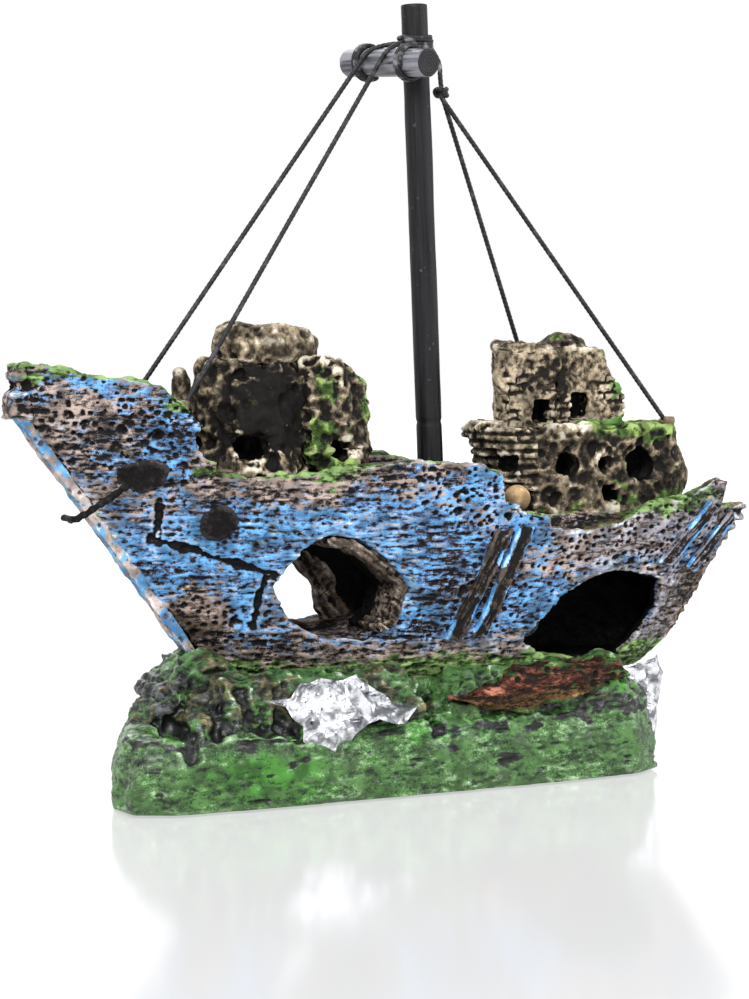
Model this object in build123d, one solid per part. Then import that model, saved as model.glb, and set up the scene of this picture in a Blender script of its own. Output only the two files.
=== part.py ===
from build123d import *
import os
from math import cos, pi, radians, sin, tan

# Shipwreck air ornament for an aquarium: a painted resin hull on a green reef base, with
# rocks and a small castle on deck, a lashed mast and yard, four cord stays, and an airline
# nipple and air stone in the stern cavity. Each piece is written as its own STEP file.
# Millimetres. +X runs from bow to stern, -Y is the side with the open stern cave, +Z is up.
# z = 0 is the surface that the ornament stands on, and x = y = 0 is the middle of its plan.

# ---- driving dimensions --------------------------------------------------------------
BASE_TOP = 12.0           # height of the slab that the reef grows on
KEEL_Z = 17.0             # the hull's flat keel rests on the reef bed here
FORE_DECK_Z = 54.0        # fore deck, which carries the mast and the fore rock
AFT_DECK_Z = 46.0         # aft deck, which carries the castle
AFT_DECK_THICK = 3.5
WALL = 3.5                # thickness of the cast wall round the stern cavity
CAVITY_FLOOR_Z = 19.5

STEM_FOOT_Z = 23.0        # the stem bar's lower end
STEM_HEAD_Z = 64.0        # and its upper end, under the bow's nose
STEM_WIDTH = 3.6
STEM_DEPTH = 2.2

MAST_DIA = 4.6
MAST_FOOT = (7.3, 0.0, 46.0)
MAST_HEAD = (3.6, 0.0, 135.0)
YARD_DIA = 4.9
YARD_Z = 124.9
YARD_AXIS = Vector(0.26, -0.963, -0.072).normalized()   # braced aft and dipping to -Y
YARD_FAR = 12.5           # from the mast to the yard's far end
YARD_NEAR = 8.8           # and to its near end
CORD_DIA = 0.9

TUNNEL_LINING = 1.8       # thickness of the bark lining in the swim-through
TUNNEL_SPLIT_Y = -1.0     # inner edge of that lining
AIR_X = 25.2              # the air fitting's axis in X
AIR_Z = 25.8              # and in Z
AIR_PIN_DIA = 4.5         # pushes into soft 4/6 mm airline
AIR_PIN_END_Y = 23.5
AIR_TUBE_DIA = 3.4        # the inner spigot that the air stone pushes onto
AIR_STONE_DIA = 6.4
AIR_STONE_Y = (-1.4, 8.0)
AIR_SEAT_Y = 12.8         # flat seat for the nipple's flange on the starboard wall
SPIGOT_CLEARANCE = 0.05


# ---- small helpers -------------------------------------------------------------------
def on_line(low, high, z):
    """Point at height z on the straight line from low to high."""
    share = (z - low[2]) / (high[2] - low[2])
    return Vector(*low) + (Vector(*high) - Vector(*low)) * share


def prism_y(outline, y_low, y_high):
    """Straight prism along Y from an outline of (x, z) points."""
    face = make_face(Polyline(*[(x, y_low, z) for x, z in outline], close=True))
    return extrude(face, amount=y_high - y_low, dir=(0, 1, 0))


def prism_z(outline, z_low, z_high):
    """Straight prism along Z from an outline of (x, y) points."""
    face = make_face(Polyline(*[(x, y, z_low) for x, y in outline], close=True))
    return extrude(face, amount=z_high - z_low, dir=(0, 0, 1))


def prism_x(outline, x_low, x_high):
    """Straight prism along X from an outline of (y, z) points."""
    face = make_face(Polyline(*[(x_low, y, z) for y, z in outline], close=True))
    return extrude(face, amount=x_high - x_low, dir=(1, 0, 0))


def lump(levels, sides=9, wobble=0.08, power=2):
    """Rough stone: a ruled loft through uneven polygons of (z, cx, cy, rx, ry).

    The plan is an ellipse at power 2, and squarer at a higher power."""
    faces = []
    for index, (z, cx, cy, rx, ry) in enumerate(levels):
        ring = []
        for side in range(sides):
            turn = 2 * pi * side / sides
            square = (abs(cos(turn)) ** power + abs(sin(turn)) ** power) ** (-1 / power)
            swell = square * (1 + wobble * sin(3 * turn + 1.7 * index))
            ring.append((cx + rx * swell * cos(turn), cy + ry * swell * sin(turn), z))
        faces.append(make_face(Polyline(*ring, close=True)))
    return loft(faces, ruled=True)


def largest(shape):
    """The biggest solid of a cut shape."""
    return shape.solids().sort_by(SortBy.VOLUME)[-1]


def block(x_low, x_high, y_low, y_high, z_low, z_high):
    """Plain box between two corners."""
    centre = ((x_low + x_high) / 2, (y_low + y_high) / 2, (z_low + z_high) / 2)
    return Pos(*centre) * Box(x_high - x_low, y_high - y_low, z_high - z_low)


def rod(start, end, diameter):
    """Round bar between two points."""
    start = Vector(*start)
    end = Vector(*end)
    plane = Plane(origin=start, z_dir=end - start)
    return extrude(plane * Circle(diameter / 2), amount=(end - start).length)


def ring_on(centre, axis, inner_dia, outer_dia, length):
    """Short sleeve centred on a point of a bar."""
    plane = Plane(origin=Vector(*centre) - axis * (length / 2), z_dir=axis)
    ring = plane * (Circle(outer_dia / 2) - Circle(inner_dia / 2))
    return extrude(ring, amount=length)


def arc_radius(before, corner, after):
    """Corner radius of a cord: 0.45 of the shorter run over the tangent of half the turn."""
    run_in = Vector(*corner) - Vector(*before)
    run_out = Vector(*after) - Vector(*corner)
    turn = radians(run_in.get_angle(run_out))
    return 0.45 * min(run_in.length, run_out.length) / tan(turn / 2)


def cord(name, route, radii=None):
    """Cord tube along straight runs joined by tangent arcs, of given radii round a hook."""
    if radii is None:
        radii = [arc_radius(*route[i:i + 3]) for i in range(len(route) - 2)]
    path = FilletPolyline(*route, radius=radii) if radii else Line(*route)
    start_plane = Plane(origin=path @ 0, z_dir=path % 0)
    print(f"{name}: length {path.length:.1f} mm, radii {[round(r, 1) for r in radii]}")
    return sweep(start_plane * Circle(CORD_DIA / 2), path=path)


# ---- hull ----------------------------------------------------------------------------
def stem_x(z):
    """Front face of the raking stem, which stands upright above its head."""
    return -39.6 - 0.733 * (min(z, STEM_HEAD_Z + 1.5) - STEM_FOOT_Z)


# Waterlines of the hull: height, stern end, greatest half breadth.
WATERLINES = [
    (KEEL_Z, 47.6, 10.0),
    (24.0, 55.0, 12.8),
    (34.0, 61.0, 15.4),
    (44.0, 68.4, 17.2),
    (54.0, 71.0, 18.0),
    (65.5, 71.0, 18.4),
    (74.0, 71.0, 18.4),
]
# The hull's own waterlines where its after half is hollow.
CAVITY_WATERLINES = [
    (CAVITY_FLOOR_Z, 50.2, 11.0), (24.0, 55.0, 12.8), (34.0, 61.0, 15.4), (43.0, 67.6, 17.0),
]
# Half breadth along a waterline: share of its length, share of its greatest half breadth.
FULLNESS = [(0.1, 0.4), (0.28, 0.8), (0.5, 1.0), (0.74, 0.96), (0.92, 0.72), (1.0, 0.4)]


def waterline(z, bow, stern, half, bow_half):
    """One horizontal section of a ship-shaped body."""
    side = [(bow, bow_half)]
    side += [(bow + share * (stern - bow), fullness * half) for share, fullness in FULLNESS]
    port = Spline(*[(x, -y, z) for x, y in side])
    starboard = Spline(*[(x, y, z) for x, y in side])
    bow_edge = Line((bow, -bow_half, z), (bow, bow_half, z))
    stern_edge = Line(port @ 1, starboard @ 1)
    return make_face(Wire([bow_edge, starboard, stern_edge, port]))


def hull_envelope():
    """Whole hull form before its sheer and openings are cut."""
    sections = []
    for z, stern, half in WATERLINES:
        sections.append(waterline(z, stem_x(z) + STEM_DEPTH, stern, half, STEM_WIDTH / 2))
    return loft(sections, ruled=True)


def stern_cavity():
    """Hollow in the after half, open upwards until the aft deck closes it."""
    faces = []
    for z, stern, half in CAVITY_WATERLINES:
        faces.append(waterline(z, -56.0, stern - WALL, half - WALL, 1.0))
    ceiling = AFT_DECK_Z - AFT_DECK_THICK
    return loft(faces, ruled=True) & block(-3.0, 70.0, -20, 20, CAVITY_FLOOR_Z, ceiling)


# Port side outlines, (x, z).
SHEER = [
    (-80, 72.6), (-69.0, 73.0), (-63.0, 72.3), (-57.0, 70.6), (-50.0, 69.8), (-46.5, 68.6),
    (-43.0, 66.1), (-40.4, 62.6), (-41.2, 60.0), (-39.8, 56.8), (-31.0, 54.9),
    (-24.0, FORE_DECK_Z), (-13.0, 55.6), (-4.0, 56.2), (7.0, 55.3), (12.0, 53.6),
    (12.9, 49.2), (16.0, 48.4), (16.4, 46.8), (21.4, 46.3), (22.2, 44.0), (29.0, 43.0),
    (36.0, 44.4), (42.5, 47.0), (51.5, 48.5), (58.6, 51.8), (63.0, 50.2), (80, 49.4),
]
TUNNEL = [
    (-26.8, 34.9), (-22.8, 40.9), (-20.4, 43.4), (-14.0, 43.0), (-8.8, 39.8),
    (-3.8, 34.6), (-6.2, 28.0), (-11.0, 25.4), (-18.0, 25.5), (-23.6, 28.6),
]
CAVE_MOUTH = [
    (18.8, 23.9), (25.1, 31.2), (32.6, 35.0), (37.9, 35.6), (43.2, 34.5), (47.4, 33.4),
    (47.8, 28.1), (44.2, 23.1), (40.3, CAVITY_FLOOR_Z), (30.9, 20.0), (22.2, 21.2),
]
BREACH = [(-11.0, 29.2), (2.0, 29.2), (2.0, 38.0), (-9.4, 39.2)]
# The tunnel's far mouth is only its fore and lower part: a slanting wall closes the rest.
FAR_WALL_Y = 5.0
FAR_MOUTH = [
    (-26.8, 34.9), (-22.8, 40.9), (-20.4, 42.2), (-18.0, 42.0), (-10.6, 34.2), (-7.0, 27.4),
    (-12.0, 27.1), (-18.6, 27.2), (-23.6, 28.8),
]


def toward(outline, centre, inset):
    """Outline moved towards a centre by about the inset."""
    moved = []
    for x, z in outline:
        away = Vector(x - centre[0], z - centre[1])
        nearer = away * (1 - inset / away.length)
        moved.append((centre[0] + nearer.X, centre[1] + nearer.Y))
    return moved


TUNNEL_CENTRE = (-15.8, 34.6)


def hull():
    """Cast hull: fore part solid, after part hollow, with the tunnel and the cave cut."""
    top = prism_y(SHEER + [(80, 90), (-80, 90)], -30, 30)
    body = hull_envelope() - top
    body -= block(12.4, 70.0, -12.0, 12.0, AFT_DECK_Z, 60.0)
    body -= block(-38.0, 12.4, -13.0, 13.0, FORE_DECK_Z, 60.0)
    body -= stern_cavity()
    body -= block(14.0, 60.0, -11.5, 11.5, AFT_DECK_Z - AFT_DECK_THICK - 0.5, AFT_DECK_Z + 1)
    body -= prism_y(TUNNEL, -30, FAR_WALL_Y)
    body -= prism_y(FAR_MOUTH, FAR_WALL_Y - 1, 30)
    body -= prism_y(BREACH, TUNNEL_SPLIT_Y, FAR_WALL_Y)
    body -= prism_y(CAVE_MOUTH, -30, -5)
    body -= rod(MAST_FOOT, MAST_HEAD, MAST_DIA)
    body -= along_y(AIR_X, AIR_Z, 5, 30, AIR_PIN_DIA)
    body -= block(AIR_X - 4, AIR_X + 4, AIR_SEAT_Y, 30, AIR_Z - 4, AIR_Z + 4)
    return body


def aft_deck():
    """Plate that closes the stern cavity and carries the castle."""
    return block(14.0, 60.0, -11.5, 11.5, AFT_DECK_Z - AFT_DECK_THICK, AFT_DECK_Z)


def stem_bar():
    """Raked bar on the front of the hull."""
    low = STEM_FOOT_Z
    high = STEM_HEAD_Z
    outline = [
        (stem_x(low), low), (stem_x(high), high),
        (stem_x(high) + STEM_DEPTH, high), (stem_x(low) + STEM_DEPTH, low),
    ]
    return prism_y(outline, -STEM_WIDTH / 2, STEM_WIDTH / 2)


def bow_nose():
    """Weathered block that caps the stem head."""
    outline = [
        (stem_x(65.5), STEM_HEAD_Z), (-70.7, 66.0), (-70.4, 71.0), (-69.0, 72.8),
        (stem_x(65.5) + STEM_DEPTH, 72.8), (stem_x(STEM_HEAD_Z) + STEM_DEPTH, STEM_HEAD_Z),
    ]
    return prism_y(outline, -3.2, 3.2)


# ---- applied relief on the port side ---------------------------------------------------
def bow_rope(solid_hull, bar):
    """Old rope from round the stem up to the hawse patch."""
    around = along_y(-60.2, 47.0, -3.3, 3.0, 1.8)
    along = rod((-60.0, -3.3, 47.0), (-52.4, -9.3, 53.2), 1.8)
    return (around + along) - solid_hull - bar


def hull_skin(thickness):
    """Thin layer that lies on the outside of the hull form."""
    sections = []
    for z, stern, half in WATERLINES[:6]:
        bow = stem_x(z) + STEM_DEPTH
        sections.append(waterline(z, bow, stern + thickness, half + thickness, STEM_WIDTH / 2))
    return loft(sections, ruled=True) - hull_envelope()


def raised(cutter, thickness):
    """The stretch of hull skin inside a cutter that reaches in from the port side."""
    return cutter & hull_skin(thickness)


HAWSE = [(-53.2, 53.4), (-53.6, 55.8), (-48.8, 56.6), (-45.6, 55.8), (-46.0, 53.0), (-49.4, 51.4)]


def hawse_patch():
    """Raised rusty plate under the bow's rim."""
    return raised(prism_y(HAWSE, -20.0, -3.0), 1.4)


def porthole_boss():
    """Round dark boss with no glass."""
    return raised(along_y(-37.0, 46.1, -20.0, -3.0, 5.4), 1.6)


RIBS = {
    "rib_timber_fore": [(3.4, 25.0), (6.2, 25.0), (14.0, 44.0), (11.2, 44.0)],
    "rib_timber_aft": [(8.4, 25.0), (11.0, 25.4), (18.0, 44.4), (15.4, 44.6)],
    "quarter_timber_fore": [(45.6, 36.6), (48.2, 36.0), (58.4, 46.0), (56.2, 47.4)],
    "quarter_timber_aft": [(53.0, 35.4), (55.2, 34.6), (64.0, 43.6), (62.4, 45.6)],
}


def rib_timber(outline):
    """Slanting plank that stands a little proud of the hull's side."""
    return raised(prism_y(outline, -30, -3), 1.1)


def tunnel_lining():
    """Bark-like lining round the top and after side of the swim-through's mouth."""
    inner = toward(TUNNEL, TUNNEL_CENTRE, TUNNEL_LINING)
    band = prism_y(TUNNEL, -13.6, TUNNEL_SPLIT_Y) - prism_y(inner, -30, 0)
    return band & prism_y([(-22.0, 50), (-15.8, 34.6), (-7.6, 25.0), (1, 29), (1, 50)], -30, 30)


def torn_plank():
    """Splintered grey plank on the slanting wall of the tunnel's far mouth."""
    outline = [
        (-13.8, 37.6), (-10.6, 34.2), (-8.0, 29.4), (-5.6, 30.6), (-7.6, 35.4), (-11.0, 38.6),
        (-15.4, 41.6), (-16.6, 40.6),
    ]
    return prism_y(outline, FAR_WALL_Y - 1.7, FAR_WALL_Y) & prism_y(TUNNEL, -30, 30)


# ---- base and reef ---------------------------------------------------------------------
BASE_PLAN = [
    (-57.6, -13.0), (-56.6, -20.0), (-50.0, -23.4), (-34.0, -24.0), (-5.0, -23.4),
    (22.0, -22.6), (38.0, -21.0), (44.4, -17.0), (46.4, -6.0), (46.4, 10.0),
    (42.0, 19.0), (24.0, 22.4), (-4.0, 24.0), (-30.0, 23.4), (-42.0, 17.0), (-50.6, 4.0),
]
BASE_MIDDLE = (-6.0, 0.0)


def base_section(z, size):
    """The base's plan at one height, drawn in by a scale about its middle."""
    ring = []
    for x, y in BASE_PLAN:
        ring.append((BASE_MIDDLE[0] + (x - BASE_MIDDLE[0]) * size, y * size, z))
    return make_face(Polyline(*ring, close=True))


def base_slab():
    """Green slab with slightly drawn-in flanks."""
    sections = [base_section(0.0, 1.0), base_section(8.0, 0.985), base_section(BASE_TOP, 0.94)]
    return loft(sections, ruled=True)


def reef_limit():
    """What stands on the slab slopes in from its top edge."""
    return loft([base_section(BASE_TOP, 0.94), base_section(26.0, 0.72)], ruled=True)


def reef_bed():
    """Ridge under the keel."""
    outline = [(-52.5, BASE_TOP), (-45.5, KEEL_Z), (43.0, KEEL_Z), (45.0, BASE_TOP)]
    return prism_y(outline, -10.5, 10.5) & reef_limit()


REEF_FLANKS = {
    # name: x start, x end, top height, y inner face, y outer foot
    "port_reef_fore": (-47.0, -3.6, 20.5, -10.5, -21.0),
    "port_reef_aft": (-1.6, 43.0, 19.6, -10.5, -20.0),
    "starboard_reef": (-44.0, 43.0, 20.0, 10.5, 20.5),
}


def reef_flank(x_start, x_end, top, y_inner, y_outer, solid_hull):
    """Rock bank along one side of the hull."""
    side = 1 if y_outer > y_inner else -1
    foot = [(x_start, y_inner), (x_end, y_inner), (x_end, y_outer), (x_start, y_outer)]
    crest = [
        (x_start + 6, y_inner), (x_end - 2, y_inner),
        (x_end - 3, y_outer - 3.5 * side), (x_start + 8, y_outer - 3.5 * side),
    ]
    low = make_face(Polyline(*[(x, y, BASE_TOP) for x, y in foot], close=True))
    high = make_face(Polyline(*[(x, y, top) for x, y in crest], close=True))
    return (loft([low, high], ruled=True) & reef_limit()) - solid_hull


def stem_rock(solid_hull, bar):
    """Dark rock that the stem's foot runs into."""
    outline = [(-47.0, KEEL_Z), (-30.0, KEEL_Z), (-38.0, 24.5), (-41.5, 22.8)]
    return prism_y(outline, -9.0, 5.0) - solid_hull - bar


def rust_patch(banks):
    """Flaky rust-coloured growth on the port bank."""
    outline = [
        (1.0, 15.5), (10.0, 17.0), (14.0, 20.6), (34.0, 20.6),
        (37.0, 17.4), (26.0, 15.0), (14.0, 12.6),
    ]
    return prism_y(outline, -21.4, -17.6) - banks


# ---- rocks on the fore deck --------------------------------------------------------------
def fore_rock():
    """Large pitted rock with a cave in its port side."""
    body = lump([
        (FORE_DECK_Z, -28.2, 0.5, 9.8, 11.5), (62.0, -28.4, 0.5, 9.8, 11.2),
        (70.0, -28.2, 0.5, 9.0, 10.2), (73.0, -28.0, 0.5, 8.0, 9.2),
    ])
    body -= rod((-31.6, -14, 58.0), (-30.6, -4, 59.0), 6.0)
    return body - rod((-33.0, -14, 70.6), (-32.4, -5.5, 70.6), 2.4)


def fore_rock_cap():
    """Flat tan slab on top of the large rock."""
    return lump([
        (73.0, -24.8, 0.5, 9.0, 8.0), (76.4, -24.6, 0.5, 9.4, 8.2), (78.6, -24.2, 0.5, 7.8, 6.6),
    ], sides=8, wobble=0.05)


def fore_rock_lobe():
    """Ridged rock between the large rock and the mast."""
    body = lump([
        (FORE_DECK_Z, -14.2, -1.5, 7.6, 10.4), (61.0, -14.4, -1.5, 7.4, 10.0),
        (68.6, -14.8, -1.5, 7.0, 9.2), (72.8, -16.6, -1.5, 5.4, 7.4),
    ], sides=8)
    body -= rod((-15.0, -15, 57.6), (-15.0, -6, 58.2), 4.4)
    return body - fore_rock() - fore_rock_cap()


def fore_spire():
    """Small light rock beside the bow's rim."""
    return lump([
        (FORE_DECK_Z, -35.4, 8.6, 1.2, 1.2), (66.0, -36.6, 8.4, 1.5, 1.5),
        (71.4, -37.4, 8.0, 1.0, 1.0),
    ], sides=7) - fore_rock()


# ---- castle on the aft deck ---------------------------------------------------------------
TERRACE_TOP = 61.0
CASTLE_PLAN = [(15.4, -8.4), (43.4, -8.4), (43.4, 6.0), (22.6, 6.0)]


def stern_terrace():
    """Rock terrace with cave recesses along its port face."""
    body = lump([
        (AFT_DECK_Z, 36.4, -0.6, 19.8, 10.2), (52.5, 36.2, -0.6, 19.6, 10.4),
        (57.0, 35.0, -0.6, 18.6, 10.2), (TERRACE_TOP, 34.8, -0.6, 18.4, 10.2),
    ], sides=16, wobble=0.03, power=4)
    for x, z, dia in [(28.6, 54.4, 4.6), (36.0, 54.4, 4.0), (43.8, 54.0, 6.6), (37.6, 48.9, 4.6)]:
        body -= rod((x, -14, z), (x, -5, z), dia)
    body -= block(17.4, 19.6, -14, -6, 52.6, 56.6)
    return body


def castle_tower():
    """Brick tower with a square window; its fore side is broken away."""
    outline = [
        (17.2, TERRACE_TOP), (28.6, TERRACE_TOP), (28.6, 74.6), (16.4, 74.8), (16.0, 70.0),
        (18.4, 66.0), (18.2, 63.0),
    ]
    body = prism_y(outline, -8.0, 5.6) & prism_z(CASTLE_PLAN, 50, 80)
    return body - block(23.4, 26.8, -9, -3, 61.6, 66.0)


def castle_house():
    """House wall with its doorway and a leaning after side."""
    outline = [
        (28.6, TERRACE_TOP), (43.0, TERRACE_TOP), (42.6, 66.4), (39.6, 72.0), (38.6, 75.0),
        (28.6, 75.0),
    ]
    body = prism_y(outline, -7.2, 5.6)
    return body - block(31.4, 35.2, -8.5, -3.5, 62.6, 67.0)


def castle_boulder():
    """Mossy boulder on the castle's roof."""
    return lump([
        (75.0, 32.0, -2.0, 4.4, 4.8), (76.2, 32.0, -2.0, 3.6, 4.0), (77.2, 32.0, -2.0, 1.8, 2.2),
    ], sides=8)


def roof_rubble():
    """Broken top of the tower."""
    outline = [(17.4, 74.4), (27.4, 74.4), (27.4, 75.0), (24.0, 76.0), (18.0, 75.4)]
    body = prism_y(outline, -7.0, 4.6)
    return (body & prism_z(CASTLE_PLAN, 50, 80)) - castle_tower()


def pebble():
    """Round tan pebble on the rim beside the terrace."""
    return Pos(17.6, -12.6, 48.9) * Sphere(2.4)


# ---- mast, yard, lashings and stays ---------------------------------------------------------
MAST_AXIS = (Vector(*MAST_HEAD) - Vector(*MAST_FOOT)).normalized()
CROSSING = on_line(MAST_FOOT, MAST_HEAD, YARD_Z)
YARD_SIDE = MAST_AXIS.cross(YARD_AXIS).normalized() * -1     # from the mast to the yard
YARD_MIDDLE = CROSSING + YARD_SIDE * ((MAST_DIA + YARD_DIA) / 2)
LASHING_DIA = MAST_DIA + 2 * CORD_DIA
KNOT_CENTRE = (9.0, -0.2, 120.0)
KNOT_DIA = 3.0


def mast():
    """Dark wooden dowel, glued into a blind socket in the deck."""
    return rod(MAST_FOOT, MAST_HEAD, MAST_DIA)


def yard():
    """Short crossing dowel."""
    return rod(YARD_MIDDLE - YARD_AXIS * YARD_FAR, YARD_MIDDLE + YARD_AXIS * YARD_NEAR, YARD_DIA)


def mast_lashing():
    """Turns of cord round the mast, just above the yard."""
    centre = CROSSING + MAST_AXIS * (YARD_DIA / 2 + 0.8)
    return ring_on(centre, MAST_AXIS, MAST_DIA, LASHING_DIA, 2.4)


def yard_lashing(offset, length):
    """Turns of cord round the yard at one side of the mast."""
    centre = YARD_MIDDLE + YARD_AXIS * offset
    return ring_on(centre, YARD_AXIS, YARD_DIA, YARD_DIA + 2 * CORD_DIA, length)


def stay_knot():
    """Knot behind the mast where the two after stays begin."""
    return Pos(*KNOT_CENTRE) * Sphere(KNOT_DIA / 2)


# The fore stays bend over the yard on an arc round its axis, then run in to the lashing.
OVER_YARD = YARD_DIA / 2 + CORD_DIA / 2 + 0.15
FORE_FEET = {"fore_stay_far": (-45.3, 8.0, 67.6), "fore_stay_near": (-42.1, -5.5, 65.0)}
FORE_CROSSINGS = {"fore_stay_far": -4.2, "fore_stay_near": 0.6}      # along the yard
FORE_ENDS = {"fore_stay_far": 0.9, "fore_stay_near": -0.6}           # in Y, on the lashing
AFT_FEET = {"aft_stay_far": (34.2, 8.6, TERRACE_TOP), "aft_stay_near": (51.4, -7.6, TERRACE_TOP)}
AFT_STARTS = {"aft_stay_far": (9.2, 0.3, 119.7), "aft_stay_near": (8.5, -0.7, 119.2)}


def fore_stay_route(name):
    """Foot, the corner over the yard, and the mast lashing."""
    crossing = YARD_MIDDLE + YARD_AXIS * FORE_CROSSINGS[name]
    corner = (crossing.X - OVER_YARD / 2, crossing.Y, crossing.Z + OVER_YARD)
    return [FORE_FEET[name], corner, (1.6, FORE_ENDS[name], YARD_Z + 3.4)]


def fore_stay(name):
    """Cord from the bow, over the yard and in to the mast lashing."""
    return cord(name, fore_stay_route(name), [OVER_YARD])


def aft_stay(name):
    """Straight cord from the terrace up to the knot."""
    return cord(name, [AFT_FEET[name], AFT_STARTS[name]])


def lashing_tail():
    """Cord from the mast lashing down to the knot."""
    return cord("lashing_tail", [(7.0, -0.2, YARD_Z + 3.2), (8.3, -0.2, 123.4), KNOT_CENTRE])


def anchor_plug(foot):
    """Blob of glue round a stay's foot."""
    return Pos(*foot) * Cylinder(1.3, 1.6, align=(Align.CENTER, Align.CENTER, Align.MIN))


# ---- air fitting -----------------------------------------------------------------------------
def along_y(x, z, y_low, y_high, diameter):
    """Round bar parallel to Y."""
    return rod((x, y_low, z), (x, y_high, z), diameter)


def air_inlet():
    """Nipple through the starboard wall, with a bored way for the air."""
    body = along_y(AIR_X, AIR_Z, 9.0, AIR_PIN_END_Y, AIR_PIN_DIA)
    body += along_y(AIR_X, AIR_Z, AIR_SEAT_Y, AIR_SEAT_Y + 1.6, 7.6)
    body += along_y(AIR_X, AIR_Z, AIR_STONE_Y[1] - 4.0, 9.0, AIR_TUBE_DIA)
    return body - along_y(AIR_X, AIR_Z, 0.0, 30.0, 2.0)


def air_stone():
    """Porous stone cylinder, pushed onto the nipple's inner spigot."""
    bottom, mouth = AIR_STONE_Y
    body = along_y(AIR_X, AIR_Z, bottom, mouth, AIR_STONE_DIA)
    return body - along_y(AIR_X, AIR_Z, mouth - 4.3, 12.0, AIR_TUBE_DIA + 2 * SPIGOT_CLEARANCE)


# ---- foil scraps ---------------------------------------------------------------------------------
FOIL_FRONT = [
    (-32.4, 16.8), (-29.0, 17.2), (-27.1, 19.7), (-21.0, 20.2), (-15.0, 19.9), (-12.0, 17.0),
    (-6.1, 14.6), (-8.5, 12.9), (-17.0, 12.6), (-19.0, 9.4), (-23.7, 7.9), (-27.0, 10.6), (-26.6, 13.6),
]
FOIL_STERN = [
    (43.0, 16.8), (46.0, 19.4), (48.6, 19.0), (50.4, 15.4), (49.4, 11.5), (47.8, 3.4),
    (45.2, 4.4), (44.4, 10.0),
]


def foil_scrap_front(ground):
    """Crumpled foil that lies on the port bank and over the slab's edge."""
    lean = [(-23.9, 7.0), (-23.2, 12.4), (-18.4, 21.0), (-16.8, 21.0), (-21.8, 12.4), (-22.8, 7.0)]
    return prism_y(FOIL_FRONT, -30, 0) & prism_x(lean, -40, 0) - ground


def foil_scrap_stern(ground):
    """Bunched foil that stands off the base's after end."""
    return largest(prism_y(FOIL_STERN, -13.2, -6.0) - ground)


# ---- write every piece ---------------------------------------------------------------------------
def build():
    """All pieces by node name."""
    solid_hull = hull()
    bar = stem_bar()
    slab = base_slab()
    terrace = stern_terrace()
    rubble = roof_rubble()
    parts = {
        "base_slab": slab,
        "reef_bed": reef_bed(),
        "hull": solid_hull,
        "aft_deck": aft_deck(),
        "stem_bar": bar,
        "bow_nose": bow_nose() - solid_hull,
        "bow_rope": bow_rope(solid_hull, bar),
        "hawse_patch": hawse_patch(),
        "porthole_boss": porthole_boss(),
        "tunnel_lining": tunnel_lining(),
        "torn_plank": torn_plank(),
        "stem_rock": stem_rock(solid_hull, bar),
        "fore_rock": fore_rock(),
        "fore_rock_cap": fore_rock_cap(),
        "fore_rock_lobe": fore_rock_lobe(),
        "fore_spire": fore_spire(),
        "stern_terrace": terrace,
        "castle_tower": castle_tower(),
        "castle_house": castle_house(),
        "castle_boulder": castle_boulder() - rubble,
        "roof_rubble": rubble,
        "pebble": pebble() - terrace - solid_hull,
        "mast": mast(),
        "yard": yard(),
        "mast_lashing": mast_lashing(),
        "yard_lashing_near": yard_lashing(3.9, 1.8),
        "yard_lashing_far": yard_lashing(-7.4, 2.0),
        "stay_knot": stay_knot(),
        "air_inlet": air_inlet(),
        "air_stone": air_stone(),
    }
    for name, size in REEF_FLANKS.items():
        parts[name] = reef_flank(*size, solid_hull)
    banks = parts["port_reef_fore"] + parts["port_reef_aft"]
    parts["rust_patch"] = rust_patch(banks)
    parts["foil_scrap_front"] = foil_scrap_front(banks + slab)
    parts["foil_scrap_stern"] = foil_scrap_stern(banks + slab + parts["reef_bed"] + solid_hull)
    for name, outline in RIBS.items():
        parts[name] = rib_timber(outline)
    for name, foot in FORE_FEET.items():
        parts[name] = largest(fore_stay(name) - parts["mast_lashing"] - solid_hull)
        parts[name + "_plug"] = anchor_plug(foot) - parts[name] - solid_hull
    for name, foot in AFT_FEET.items():
        parts[name] = aft_stay(name) - parts["stay_knot"] - terrace
        parts[name + "_plug"] = anchor_plug(foot) - parts[name]
    parts["lashing_tail"] = lashing_tail() - parts["stay_knot"] - parts["mast_lashing"]
    return parts


os.makedirs("parts", exist_ok=True)
for node, shape in build().items():
    export_step(shape, f"parts/{node}.step")
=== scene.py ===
from itertools import product
from math import cos, pi, radians, sin
from types import SimpleNamespace

import bpy
import numpy as np
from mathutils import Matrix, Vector
from mathutils.geometry import delaunay_2d_cdt


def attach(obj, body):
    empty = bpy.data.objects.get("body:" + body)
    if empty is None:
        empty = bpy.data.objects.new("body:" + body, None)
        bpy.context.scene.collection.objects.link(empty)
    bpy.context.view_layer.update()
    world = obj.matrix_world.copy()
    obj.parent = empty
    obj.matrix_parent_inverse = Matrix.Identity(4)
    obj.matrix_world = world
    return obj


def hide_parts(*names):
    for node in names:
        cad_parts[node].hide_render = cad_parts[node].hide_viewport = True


# Looks of a shipwreck aquarium ornament: cast resin, dry-brushed in tan, blue and green over
# black, with foil scraps, a dowel mast and yard, laid cord, and an air fitting in the stern.
# Shapes are worked out as arrays in millimetres and become objects in metres at the end.

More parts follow.
